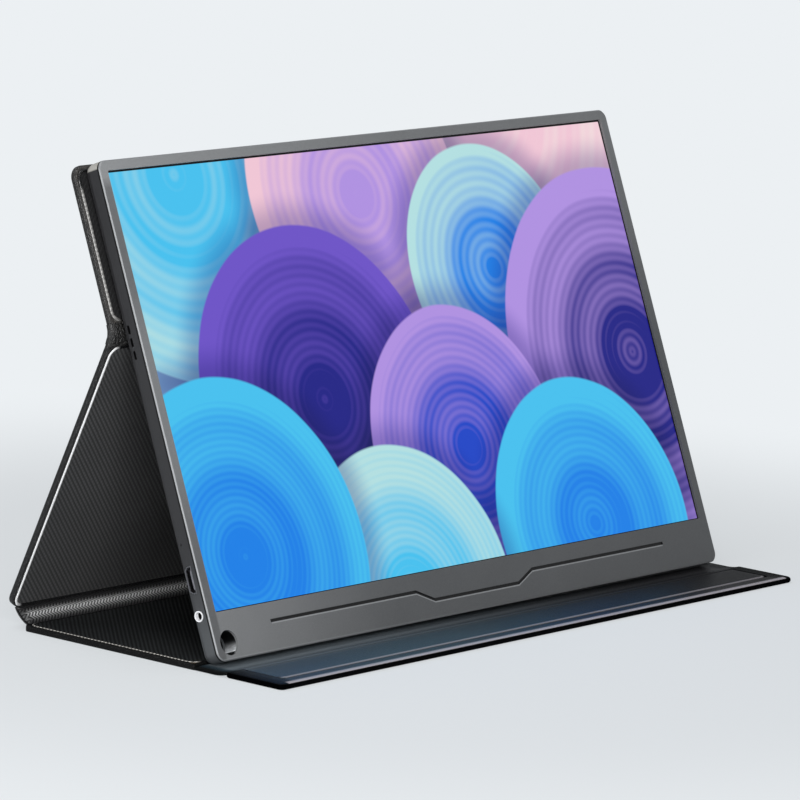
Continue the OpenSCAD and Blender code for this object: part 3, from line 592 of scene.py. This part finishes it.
def bead_leather(name, dark, light, ripple, half_w, stop=1000.0):
    """Pressed bead at the lining's edge: a painted highlight along the sides, plain leather at the
    ends, and rippled by its stitches."""
    n = Nodes(name)
    at = n.place()
    x, y, _ = n.split(at)
    beat = n.math("MULTIPLY_ADD", n.math("SINE", n.math("MULTIPLY", y, math.tau / 2.0)), 0.5, 0.5)
    fine = n.noise(at, 2.5, 2.0)
    # Painted highlight: the light colour along the sides, fading towards the ends and out towards stop.
    side = n.span(n.math("ABSOLUTE", x), half_w - 7.5, half_w - 3.2, smooth=True)
    tone = n.math("MULTIPLY_ADD", n.math("SUBTRACT", 1.0, beat), -ripple, 1.0)
    tone = n.math("MULTIPLY", side, n.math("MULTIPLY", tone, n.span(fine, 0.2, 0.5, 0.75, 1.0)))
    tone = n.math("MULTIPLY", tone, n.span(y, stop - 4.0, stop, 1.0, 0.0))
    n.set(Base_Color=n.mix(tone, dark, light), Metallic=0.0)
    n.set(Roughness=n.span(fine, 0.3, 0.7, 0.22, 0.34))
    n.set(Coat_Weight=0.6, Coat_Roughness=0.15)
    height = n.math("ADD", n.math("MULTIPLY", beat, ripple), n.math("MULTIPLY", fine, 0.3))
    n.bump(height, 0.00012)
    return n.material


# Generic picture for the screen: overlapping discs with fine ripples. Each disc is its
# middle across and up in shares of the picture's width, its radius, and its colours from
# the middle to the rim.
AQUA = srgb(186, 232, 234)
CYAN = srgb(70, 200, 248)
SKY = srgb(14, 132, 240)
BLUE = srgb(22, 70, 206)
DEEP = srgb(24, 26, 138)
VIOLET = srgb(112, 84, 206)
LILAC = srgb(182, 150, 234)
PINK = srgb(250, 206, 222)
CREAM = srgb(252, 242, 236)
DISCS = [
    (0.74, 0.62, 0.40, PINK, CREAM),
    (0.12, 0.55, 0.27, CYAN, AQUA),
    (0.46, 0.50, 0.21, LILAC, PINK),
    (0.70, 0.38, 0.17, SKY, AQUA),
    (0.95, 0.24, 0.26, DEEP, LILAC),
    (0.30, 0.24, 0.23, DEEP, VIOLET),
    (0.56, 0.15, 0.19, BLUE, LILAC),
    (0.78, 0.02, 0.20, SKY, CYAN),
    (0.38, -0.03, 0.20, CYAN, AQUA),
    (0.08, 0.06, 0.23, SKY, CYAN),
]


def picture(n, u, v):
    """Colour of the picture at u across and v up, both in shares of its width."""
    at = n.join(u, v)
    warp = n.math("MULTIPLY", n.math("SUBTRACT", n.noise(at, 5.0, 2.0), 0.5), 0.006)
    ground = n.mix(n.span(n.math("SUBTRACT", v, n.math("MULTIPLY", u, 0.2)), 0.0, 0.45), SKY, AQUA)
    for index, (cu, cv, radius, middle, rim) in enumerate(DISCS):
        from_disc = n.vector("SUBTRACT", at, (cu, cv, 0))
        away = n.math("ADD", n.vector("LENGTH", from_disc), warp)
        shade = n.span(away, radius, radius + 0.05, 0.55, 1.0, smooth=True)
        ground = n.mix(1.0, ground, n.join(shade, shade, n.math("POWER", shade, 0.6)), "MULTIPLY")
        ripple = n.math("SINE", n.math("MULTIPLY", away, 330 + 40 * index))
        slow = n.math("SINE", n.math("MULTIPLY_ADD", away, 84.0, index * 1.7))
        lean = n.vector("DOT_PRODUCT", from_disc, (-0.8 / radius, 0.9 / radius, 0))
        share = n.math("POWER", n.math("DIVIDE", away, radius, clamp=True), 1.8)
        share = n.math("MULTIPLY_ADD", lean, 0.22, share)
        share = n.math("MULTIPLY_ADD", slow, 0.15, share)
        share = n.math("MULTIPLY_ADD", ripple, 0.09, share, clamp=True)
        disc = n.mix(share, middle, rim)
        cover = n.span(away, radius - 0.0015, radius + 0.0015, 1.0, 0.0)
        ground = n.mix(cover, ground, disc)
    return ground


def screen_material():
    """Lit picture with a black border behind smooth cover glass."""
    n = Nodes("screen")
    at, across, _, up = body_place(n)
    half = PICTURE_W / 2
    u = n.math("DIVIDE", n.math("ADD", across, half), PICTURE_W)
    v = n.math("DIVIDE", n.math("SUBTRACT", up, PICTURE_LOW), PICTURE_W)
    between = n.math("MULTIPLY", n.span(up, PICTURE_LOW, PICTURE_LOW + 0.1),
                     n.span(up, PICTURE_HIGH - 0.1, PICTURE_HIGH, 1.0, 0.0))
    inside = n.math("MULTIPLY", n.span(n.math("ABSOLUTE", across), half - 0.1, half, 1.0, 0.0),
                    between)
    n.set(Base_Color=srgb(6, 6, 7), Roughness=0.22, Specular_IOR_Level=0.12)
    n.set(Emission_Color=n.mix(inside, (0, 0, 0, 1), picture(n, u, v)), Emission_Strength=0.9)
    n.bump(n.noise(at, 0.02, 1.0), 0.00003)
    return n.material


def outline(w, l, insets, corners, steps=10):
    """Closed outline of a panel of w by l from y = 0. Insets are for the sides, the start
    and the end, and corners are the radii at the start and the end."""
    side, start, end = insets
    half = w / 2 - side
    low, high = start, l - end
    r0, r1 = (max(r, 0.05 * MM) for r in corners)
    middles = [(-half + r0, low + r0, 180, r0), (half - r0, low + r0, 270, r0),
               (half - r1, high - r1, 0, r1), (-half + r1, high - r1, 90, r1)]
    points = []
    for cx, cy, turn, r in middles:
        for k in range(steps + 1):
            a = math.radians(turn + 90 * k / steps)
            points.append((cx + r * math.cos(a), cy + r * math.sin(a)))
    return points


def blank_mesh():
    """Empty mesh with the two measures that the materials read at each point: its place at
    rest and its wear."""
    bm = bmesh.new()
    return bm, bm.verts.layers.float_vector.new("place"), bm.verts.layers.float.new("wear")


def join_rings(bm, a, b):
    """Band of faces between two closed rings of points."""
    for i in range(len(a)):
        j = (i + 1) % len(a)
        bm.faces.new((a[i], a[j], b[j], b[i]))


def shown(name, bm, material):
    """Smooth object made of the finished mesh."""
    mesh = bpy.data.meshes.new(name)
    bmesh.ops.recalc_face_normals(bm, faces=bm.faces)
    for face in bm.faces:
        face.smooth = True
    bm.to_mesh(mesh)
    bm.free()
    piece = bpy.data.objects.new(name, mesh)
    bpy.context.scene.collection.objects.link(piece)
    mesh.materials.append(material)
    return piece


def ringed(name, place, rings, material, worn=(), closed=False):
    """Solid from rings of points, each (outline, height above the lined face). It's capped
    at both ends, or closed into a loop."""
    bm, spot, wear = blank_mesh()
    loops = []
    for index, (points, z) in enumerate(rings):
        loop = []
        for x, y in points:
            vert = bm.verts.new(place @ Vector((x, y, z)))
            vert[spot] = Vector((x, y, z)) / MM
            vert[wear] = worn[index] if worn else 0.0
            loop.append(vert)
        loops.append(loop)
    for a, b in zip(loops, loops[1:]):
        join_rings(bm, a, b)
    if closed:
        join_rings(bm, loops[-1], loops[0])
    else:
        bm.faces.new(loops[0])
        bm.faces.new(loops[-1])
    return shown(name, bm, material)


def panel_skin(name, place, l, corners, flat_ends, material, trim=(0, 0)):
    """Leather folded round a board: the turned-in rim on the lined side, a rolled edge and
    the outer face with its pressed line. flat_ends says whether the start and the end run on
    into a fold."""
    edge = 1.0 * MM

    def ring(inset, z, rolled):
        start = 0.0 if flat_ends[0] and rolled else max(inset - trim[0] * MM, 0.05 * MM)
        end = 0.0 if flat_ends[1] and rolled else max(inset - trim[1] * MM, 0.05 * MM)
        return outline(COVER_W, l, (inset, start, end),
                       (max(corners[0] - inset, 0.3 * MM), max(corners[1] - inset, 0.3 * MM))), z

    rings = [ring(RIM_W + 1.6 * MM, 0.5 * MM, False), ring(RIM_W + 0.3 * MM, 0.35 * MM, False),
             ring(RIM_W + 0.05 * MM, 0.1 * MM, False), ring(RIM_W - 0.25 * MM, 0.0, False)]
    worn = [0, 0, 0, 0.1]
    steps = 6
    for k in range(steps + 1):
        a = math.radians(90 * k / steps)
        rings.append(ring(edge * (1 - math.sin(a)), edge * (1 - math.cos(a)), flat_ends[0]))
        worn.append(1.0 if 0.3 < k / steps else 0.4)
    for k in range(steps + 1):
        a = math.radians(90 * k / steps)
        rings.append(ring(edge * (1 - math.cos(a)), PANEL_T - edge * (1 - math.sin(a)), True))
        worn.append(1.0 if k / steps < 0.8 else 0.4)
    for inset, z in ((0.8, 0.0), (2.2, 0.03), (2.5, -0.12), (2.9, -0.14), (3.2, 0.03), (5.0, 0.06)):
        rings.append(ring(edge + inset * MM, PANEL_T + z * MM, True))
        worn.append(0.1 if inset < 1 else 0.0)
    return ringed(name, place, rings, material, worn)


def panel_lining(name, place, l, corners, material, trim=(0, 0)):
    """Woven lining, a thin plate with a soft edge inside the bead."""
    rings = []
    for inset, z in ((2.7, 0.35), (2.75, 0.10), (2.95, 0.0), (3.6, -0.04), (5.0, -0.05)):
        d = inset * MM
        r = (max(corners[0] + 0.5 * MM - d, 0.4 * MM), max(corners[1] + 1.0 * MM - d, 0.4 * MM))
        rings.append((outline(COVER_W, l, (d, d - trim[0] * MM, d - trim[1] * MM), r), z * MM))
    return ringed(name, place, rings, material)


def panel_bead(name, place, l, corners, material, trim=(0, 0), middle=2.3, half=0.55, rise=0.36):
    """Raised bead that runs round the lining."""
    rings = []
    count = 9
    for k in range(count):
        a = math.radians(180 * k / (count - 1))
        d = (middle - half * math.cos(a)) * MM
        r = (max(corners[0] + 0.5 * MM - d, 0.4 * MM), max(corners[1] + 1.0 * MM - d, 0.4 * MM))
        rings.append((outline(COVER_W, l, (d, d - trim[0] * MM, d - trim[1] * MM), r),
                      (0.1 - (rise + 0.1) * math.sin(a)) * MM))
    return ringed(name, place, rings, material, closed=True)


def strip(name, path, w, material, thick, creases=0.0, columns=60, round_ends=0.0, run=0.0):
    """Soft strip across the whole width, along a path of points and outward normals in the
    side plane. thick is its thickness at each point, inward from the path, and round_ends is
    how far from its ends it narrows. run is the length that its place starts to count from."""
    bm, spot, wear = blank_mesh()
    tiny = 1e-6
    shares = (1, 0.8, 0.55, 0.3, 0.12, 0.0) if round_ends else (0.0,)
    ends = [w / 2 - round_ends * k for k in shares]
    steps = [-w / 2 + w * k / columns for k in range(1, columns)]
    steps = [x for x in steps if abs(x) < w / 2 - round_ends - tiny]
    steps = sorted(steps + ends + [-x for x in ends])
    grid = []
    last = None
    for index, (point, normal) in enumerate(path):
        if last is not None:
            run += (point - last).length
        last = point
        ring = []
        for x, inner in [(x, False) for x in steps] + [(x, True) for x in reversed(steps)]:
            edge = abs(x) > w / 2 - tiny
            past = max(abs(x) - (w / 2 - round_ends), 0.0) / round_ends if round_ends else 0.0
            full = 0.35 + 0.65 * math.sqrt(max(1 - past * past, 0.0))
            off = -thick[index] * full if inner else -0.15 * MM * edge
            lift = creases * noise.noise(Vector((x * 90, run * 600, 2.0)))
            away = off + lift
            at = point + normal * away + X * x
            vert = bm.verts.new(at)
            vert[spot] = Vector((x, run, off)) / MM
            vert[wear] = 0.5 if edge else 0.15
            ring.append(vert)
        grid.append(ring)
    for a, b in zip(grid, grid[1:]):
        join_rings(bm, a, b)
    bm.faces.new(grid[0])
    bm.faces.new(grid[-1])
    return shown(name, bm, material)


# Materials
black_leather = leather("cover_leather", srgb(18, 18, 19), srgb(50, 49, 49), 0.42, 1.05, 0.0002,
                        0.1)
fold_leather = leather("fold_leather", srgb(8, 8, 8), srgb(58, 57, 56), 0.34, 1.5, 0.0006, 0.2)
# The top's leather is a lighter copy with painted light on its rim, and the floor's is a darker copy with painted
# shade.
top_leather = leather("top_leather", srgb(26, 26, 26), srgb(96, 93, 90), 0.40, 1.5, 0.0004, 0.1)
floor_leather = leather("floor_leather", srgb(6, 6, 7), srgb(16, 16, 17), 0.5, 1.05, 0.0002,
                        0.0, 0.2)
# The leg's lining keeps 0.6 of its colour under the painted shade deep inside the stand.
lining = twill("twill_lining", srgb(20, 20, 21), srgb(90, 90, 91), 2.6, deep_shade_level=0.6)
# The top's and the floor's linings are darker copies of the same twill, with painted shade.
dim_lining = twill("dim_lining", srgb(7, 7, 8), srgb(34, 34, 35), 2.6)
floor_lining = twill("floor_lining", srgb(8, 9, 10), srgb(52, 55, 56), 2.5, 0.6, 0.0, 0.15)
# The beads' light colours are painted highlights, white on the leg.
leg_edge = bead_leather("leg_edge", srgb(24, 24, 25), srgb(255, 255, 255), 0.0, 183.5)
top_edge = bead_leather("top_edge", srgb(24, 24, 25), srgb(166, 164, 161), 0.5, 183.5,
                        TOP_L / MM - 9.0)
floor_edge = bead_leather("floor_edge", srgb(18, 18, 19), srgb(196, 192, 186), 0.85, 183.5)

# Cover panels
top_skin = panel_skin("top_cover", TOP_PLACE, TOP_L, (0.5 * MM, CORNER), (True, False),
                      top_leather, (1.4, 0))
leg_skin = panel_skin("leg_cover", LEG_PLACE, LEG_L, (0.5 * MM, CORNER), (True, False),
                      black_leather, (1.4, 1.4))
floor_skin = panel_skin("floor_cover", FLOOR_PLACE, FLOOR_L, (0.5 * MM, 2.5 * MM), (False, False),
                        floor_leather, (0, 1.2))
top_inside = panel_lining("top_twill", TOP_PLACE, TOP_L, (CORNER, CORNER), dim_lining, (1.4, 0))
leg_inside = panel_lining("leg_twill", LEG_PLACE, LEG_L, (CORNER, CORNER), lining, (1.4, 1.4))
floor_inside = panel_lining("floor_twill", FLOOR_PLACE, FLOOR_L, (CORNER, CORNER), floor_lining,
                            (0, 1.2))
top_bead = panel_bead("top_bead", TOP_PLACE, TOP_L, (CORNER, CORNER), top_edge, (1.4, 0),
                      2.5, 0.8, 0.42)
leg_bead = panel_bead("leg_bead", LEG_PLACE, LEG_L, (CORNER, CORNER), leg_edge, (1.4, 1.4),
                      2.35, 0.68)
floor_bead = panel_bead("floor_bead", FLOOR_PLACE, FLOOR_L, (CORNER, CORNER), floor_edge, (0, 1.2),
                        2.2, 0.42, 0.22)
for piece, body, node, slot in (
        (top_skin, "monitor", "top_leather", "cover_leather"),
        (leg_skin, "leg", "leg_leather", "cover_leather"),
        (floor_skin, "floor_panel", "floor_leather", "cover_leather"),
        (top_inside, "monitor", "top_lining", "twill_lining"),
        (leg_inside, "leg", "leg_lining", "twill_lining"),
        (floor_inside, "floor_panel", "floor_lining", "twill_lining")):
    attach(piece, body)
    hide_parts(node)
for piece, body in ((top_bead, "monitor"), (leg_bead, "leg"), (floor_bead, "floor_panel")):
    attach(piece, body)

# Front flap: smooth leather with a pressed line on its upper face
lip_w = lip_high.x - lip_low.x
lip_leather = smooth_leather("smooth_leather", True)
groove_leather = smooth_leather("groove_leather", False)


def lip_ring(side, start, end, z, r_start, r_end):
    """Ring with its insets, its height and its two corner radii, all in millimetres."""
    return (outline(lip_w, LIP_L, (side * MM, start * MM, end * MM), (r_start * MM, r_end * MM)),
            z * MM)


lip_rings = [lip_ring(3.5, 3.0, 3.5, 0.0, 0.4, 1.0), lip_ring(1.3, 0.9, 1.3, 0.0, 0.4, 1.5)]
lip_worn = [0.0, 0.2]
for step in range(7):
    angle = math.radians(90 * step / 6)
    d = 1.3 * (1 - math.sin(angle))
    lip_rings.append(lip_ring(d, d * 0.7, d, 1.25 * (1 - math.cos(angle)), 0.5, 2.6 - d * 0.6))
    lip_worn.append(0.9)
for step in range(1, 7):
    angle = math.radians(90 * step / 6)
    d = 1.3 * (1 - math.cos(angle))
    lip_rings.append(lip_ring(d, d * 0.7, d, 1.5 + 1.3 * math.sin(angle), 0.5, 2.6 - d * 0.6))
    lip_worn.append(0.9 if step < 5 else 0.4)
for side, start, end, z, r in (
        (2.2, 1.2, 2.0, 2.84, 1.0), (7.8, 1.9, 6.8, 2.80, 1.2), (8.5, 2.2, 7.5, 2.72, 1.4),
        (8.8, 2.4, 7.8, 2.36, 1.5), (9.3, 2.8, 8.3, 2.34, 1.5), (9.6, 3.0, 8.6, 2.72, 1.4),
        (10.3, 3.4, 9.3, 2.88, 1.2), (12.5, 5.0, 11.5, 2.94, 1.0)):
    lip_rings.append(lip_ring(side, start, end, z, r, r + 1.0))
    lip_worn.append(0.0)
lip = ringed("lip_cover", LIP_PLACE, lip_rings, lip_leather, lip_worn)
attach(lip, "front_lip")
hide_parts("lip_leather")

# Soft fold between the top panel and the leg, as thick as they are: its outer side lies
# in the hollow of the bend, along a curve pulled towards the point where they'd meet
fold_half = FOLD_L / 2
fold_out = PANEL_T / 2
fold_start = TOP_FOLD + HEIGHT * fold_half + DEPTH * fold_out
fold_end = TOP_FOLD + LEG_DOWN * fold_half + LEG_OUT * fold_out
meeting = (DEPTH + LEG_OUT).normalized() * fold_out / math.cos(DEPTH.angle(LEG_OUT) / 2)
meeting += TOP_FOLD
pull = 0.78
FOLD_COUNT = 33
fold_path = []
for k in range(FOLD_COUNT):
    share = k / (FOLD_COUNT - 1)
    at = (fold_start * (1 - share) ** 3
          + fold_start.lerp(meeting, pull) * 3 * share * (1 - share) ** 2
          + fold_end.lerp(meeting, pull) * 3 * share ** 2 * (1 - share)
          + fold_end * share ** 3)
    turn = share * share * (3 - 2 * share)
    fold_path.append((at, DEPTH.lerp(LEG_OUT, turn).normalized()))
fold = strip("upper_fold_leather", fold_path, COVER_W, fold_leather,
             [2.75 * MM] * FOLD_COUNT, 0.3 * MM, 120)
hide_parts("upper_fold")
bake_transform(fold)

# Spine: leather outside and herringbone inside, each in two lengths that meet half way
chord = LEG_FOLD - FLOOR_FOLD
SPINE_R = (chord.length ** 2 / 4 + SPINE_BULGE ** 2) / (2 * SPINE_BULGE)
inward = Vector((0, -chord.z, chord.y)).normalized()
spine_middle = (LEG_FOLD + FLOOR_FOLD) / 2 + inward * (SPINE_R - SPINE_BULGE)
aim = math.atan2(-inward.z, -inward.y)
spine_half = math.asin(chord.length / 2 / SPINE_R)
SPINE_RUN = spine_half * SPINE_R
SPINE_STEPS = 14
# The weave's painted highlight lies a little towards the floor from the roll's middle.
spine_weave = ribbed_roll("spine_weave", -0.12 * SPINE_RUN / MM, 0.40 * SPINE_RUN / MM)


def spine_path(r, from_share, to_share):
    """Points and outward normals along the spine's arc, at radius r. The shares run from -1
    at the floor to 1 at the leg."""
    path = []
    for k in range(SPINE_STEPS + 1):
        share = from_share + (to_share - from_share) * k / SPINE_STEPS
        a = aim + spine_half * share
        normal = Vector((0, math.cos(a), math.sin(a)))
        path.append((spine_middle + normal * r, normal))
    return path


LEATHER_R = SPINE_R + 0.95 * MM
LINING_R = SPINE_R - 0.45 * MM
ROLL = 2.2 * MM


def swell(share):
    """How far the lining puckers inwards, in a roll along the fold."""
    return ROLL * max(math.cos(math.pi / 2 * share), 0.0) ** 1.1


for name, share_from, share_to, body, fold_line, side in (
        ("lower", -1.0, 0.0, "floor_panel", FLOOR_FOLD, -1.0),
        ("upper", 0.0, 1.0, "leg", LEG_FOLD, 1.0)):
    outer = strip(f"spine_cover_{name}", spine_path(LEATHER_R, share_from, share_to), SPINE_W,
                  black_leather, [0.8 * MM] * (SPINE_STEPS + 1), 0.06 * MM)
    core_r = LEATHER_R - 0.75 * MM
    flat_depth = core_r - LINING_R + 0.4 * MM
    depths = [flat_depth + swell(share_from + k / SPINE_STEPS) for k in range(SPINE_STEPS + 1)]
    inner = strip(f"spine_twill_{name}", spine_path(core_r, share_from, share_to), SPINE_W,
                  spine_weave, depths, 0.05 * MM, 60, 2.6 * MM, share_from * SPINE_RUN)
    for piece, node, slot in ((outer, "spine_leather", "cover_leather"),
                              (inner, "spine_lining", "twill_lining")):
        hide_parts(node)
        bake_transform(piece)

# Soft strip of the groove
groove_low, groove_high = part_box("lip_fold")
groove_path = []
for k in range(25):
    share = k / 24
    y = groove_high.y + (groove_low.y - groove_high.y) * share
    rise = min(max((share - 0.62) / 0.38, 0), 1)
    lift = (0.95 * rise * rise - 0.15) * MM
    groove_path.append((Vector((0, y, groove_high.z + lift)), Vector((0, 0, 1))))
groove = strip("groove_leather", groove_path, COVER_W, groove_leather, [1.3 * MM] * 25, 0.04 * MM)
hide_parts("lip_fold")
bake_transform(groove)

# Finishes of the solids that stay as they are
black_plastic = grained("black_plastic", srgb(28, 28, 29), 0.0, 0.5, 0.25, 0.00003)
milky = grained("film", srgb(226, 228, 230), 0.0, 0.25, 0.8, 0.00001, 0.03)
led = grained("led", srgb(224, 214, 132), 0.0, 0.3, 0.5, 0.00002)
flex = brushed("flex", srgb(168, 112, 46), 0.4, 2)
light_pipe = grained("light_pipe", srgb(10, 10, 11), 0.0, 0.3, 0.6, 0.00001, 0.1, 0.3)
button_metal = grained("button_metal", srgb(84, 84, 86), 0.6, 0.35, 0.25, 0.00002)
finishes = {
    "frame_metal": frame_material(), "shell_metal": shell_material(), "screen": screen_material(),
    "film": milky, "led": led, "steel": brushed("steel", srgb(176, 178, 182), 0.35, 0),
    "steel_screw": brushed("steel_screw", srgb(58, 58, 60), 0.35, 0),
    "circuit_board": circuit_board("circuit_board"), "black_plastic": black_plastic,
    "flex": flex, "socket_steel": brushed("socket_steel", srgb(150, 150, 154), 0.28, 2),
    "bright_ring": grained("bright_ring", srgb(250, 250, 252), 0.1, 0.3, 0.4, 0.00001, 0.03),
    "light_pipe": light_pipe, "button_metal": button_metal, "sleeve_plastic": sleeve_material(),
    "pad": foam("pad"), "fibreboard": fibreboard("fibreboard"), "cover_leather": black_leather,
    "smooth_leather": lip_leather, "twill_lining": lining,
}
for row in frame["record"]["subparts"]:
    node = frame["nodes"][row["node"]]
    node.data.materials.clear()
    node.data.materials.append(finishes[row["material_slot"]])

# Pale floor. Seen by the camera it fades into the backdrop's own colour.
floor_mesh = bpy.data.meshes.new("floor")
reach = 6.0
floor_mesh.from_pydata([(-reach, -reach, 0), (reach, -reach, 0), (reach, reach, 0),
                        (-reach, reach, 0)], [], [(0, 1, 2, 3)])
floor = bpy.data.objects.new("studio_floor", floor_mesh)
bpy.context.scene.collection.objects.link(floor)
floor_paint = Nodes("studio_floor")
floor_paint.set(Base_Color=srgb(196, 200, 203), Roughness=0.7, Specular_IOR_Level=0.1)
glow = floor_paint.tree.nodes.new("ShaderNodeEmission")
glow.inputs["Color"].default_value = srgb(236, 240, 243)
ray = floor_paint.tree.nodes.new("ShaderNodeLightPath")
pick = floor_paint.tree.nodes.new("ShaderNodeMixShader")
far = floor_paint.span(floor_paint.vector("LENGTH", floor_paint.object_mm()), 240.0, 560.0,
                       0.62, 1.0, smooth=True)
floor_paint.put(pick.inputs[0], floor_paint.math("MULTIPLY", far, ray.outputs["Is Camera Ray"]))
floor_paint.tree.links.new(floor_paint.shader.outputs[0], pick.inputs[1])
floor_paint.tree.links.new(glow.outputs[0], pick.inputs[2])
floor_paint.tree.links.new(pick.outputs[0], floor_paint.output.inputs["Surface"])
floor_mesh.materials.append(floor_paint.material)

# Backdrop and light. The camera sees the backdrop paler than it lights the part.
world = bpy.data.worlds.new("studio")
bpy.context.scene.world = world
world.use_nodes = True
tree = world.node_tree
background = tree.nodes["Background"]
background.inputs["Color"].default_value = srgb(230, 234, 238)
background.inputs["Strength"].default_value = 0.34
seen = tree.nodes.new("ShaderNodeBackground")
seen.inputs["Color"].default_value = srgb(236, 240, 243)
seen.inputs["Strength"].default_value = 1.0
path_kind = tree.nodes.new("ShaderNodeLightPath")
choose = tree.nodes.new("ShaderNodeMixShader")
tree.links.new(path_kind.outputs["Is Camera Ray"], choose.inputs[0])
tree.links.new(background.outputs[0], choose.inputs[1])
tree.links.new(seen.outputs[0], choose.inputs[2])
tree.links.new(choose.outputs[0], tree.nodes["World Output"].inputs["Surface"])


def softbox(name, at, aim_at, size, watts):
    """Rectangular lamp that faces a point."""
    data = bpy.data.lights.new(name, "AREA")
    data.shape = "RECTANGLE"
    data.size, data.size_y = size
    data.energy = watts
    lamp = bpy.data.objects.new(name, data)
    bpy.context.scene.collection.objects.link(lamp)
    lamp.location = at
    lamp.rotation_euler = (Vector(aim_at) - Vector(at)).to_track_quat("-Z", "Y").to_euler()


softbox("key", (-1.05, -1.0, 0.62), (-0.1, 0, 0.08), (0.7, 0.7), 13)
softbox("side", (-1.25, -0.3, 0.25), (0, 0, 0.06), (0.5, 0.4), 4)
softbox("top", (-0.3, 0.5, 1.7), (0, 0, 0.08), (1.2, 0.9), 12)
softbox("fill", (1.6, -1.2, 0.8), (0, 0, 0.08), (0.9, 0.9), 1.5)

# Camera, from a fit to the corners seen in the photo
camera_data = bpy.data.cameras.new("camera")
camera_data.sensor_width = 36
camera_data.lens = 262.17
camera_data.clip_end = 20
camera = bpy.data.objects.new("camera", camera_data)
bpy.context.scene.collection.objects.link(camera)
right = Vector((0.634541, -0.771318, 0.049265))
above = Vector((0.100163, 0.145272, 0.984309))
behind = Vector((-0.766371, -0.619650, 0.169439))
camera.matrix_world = frame_matrix(right, above, behind, Vector((-2.0103, -1.6068, 0.5361)))
bpy.context.scene.camera = camera
bpy.context.scene.view_settings.view_transform = "Standard"
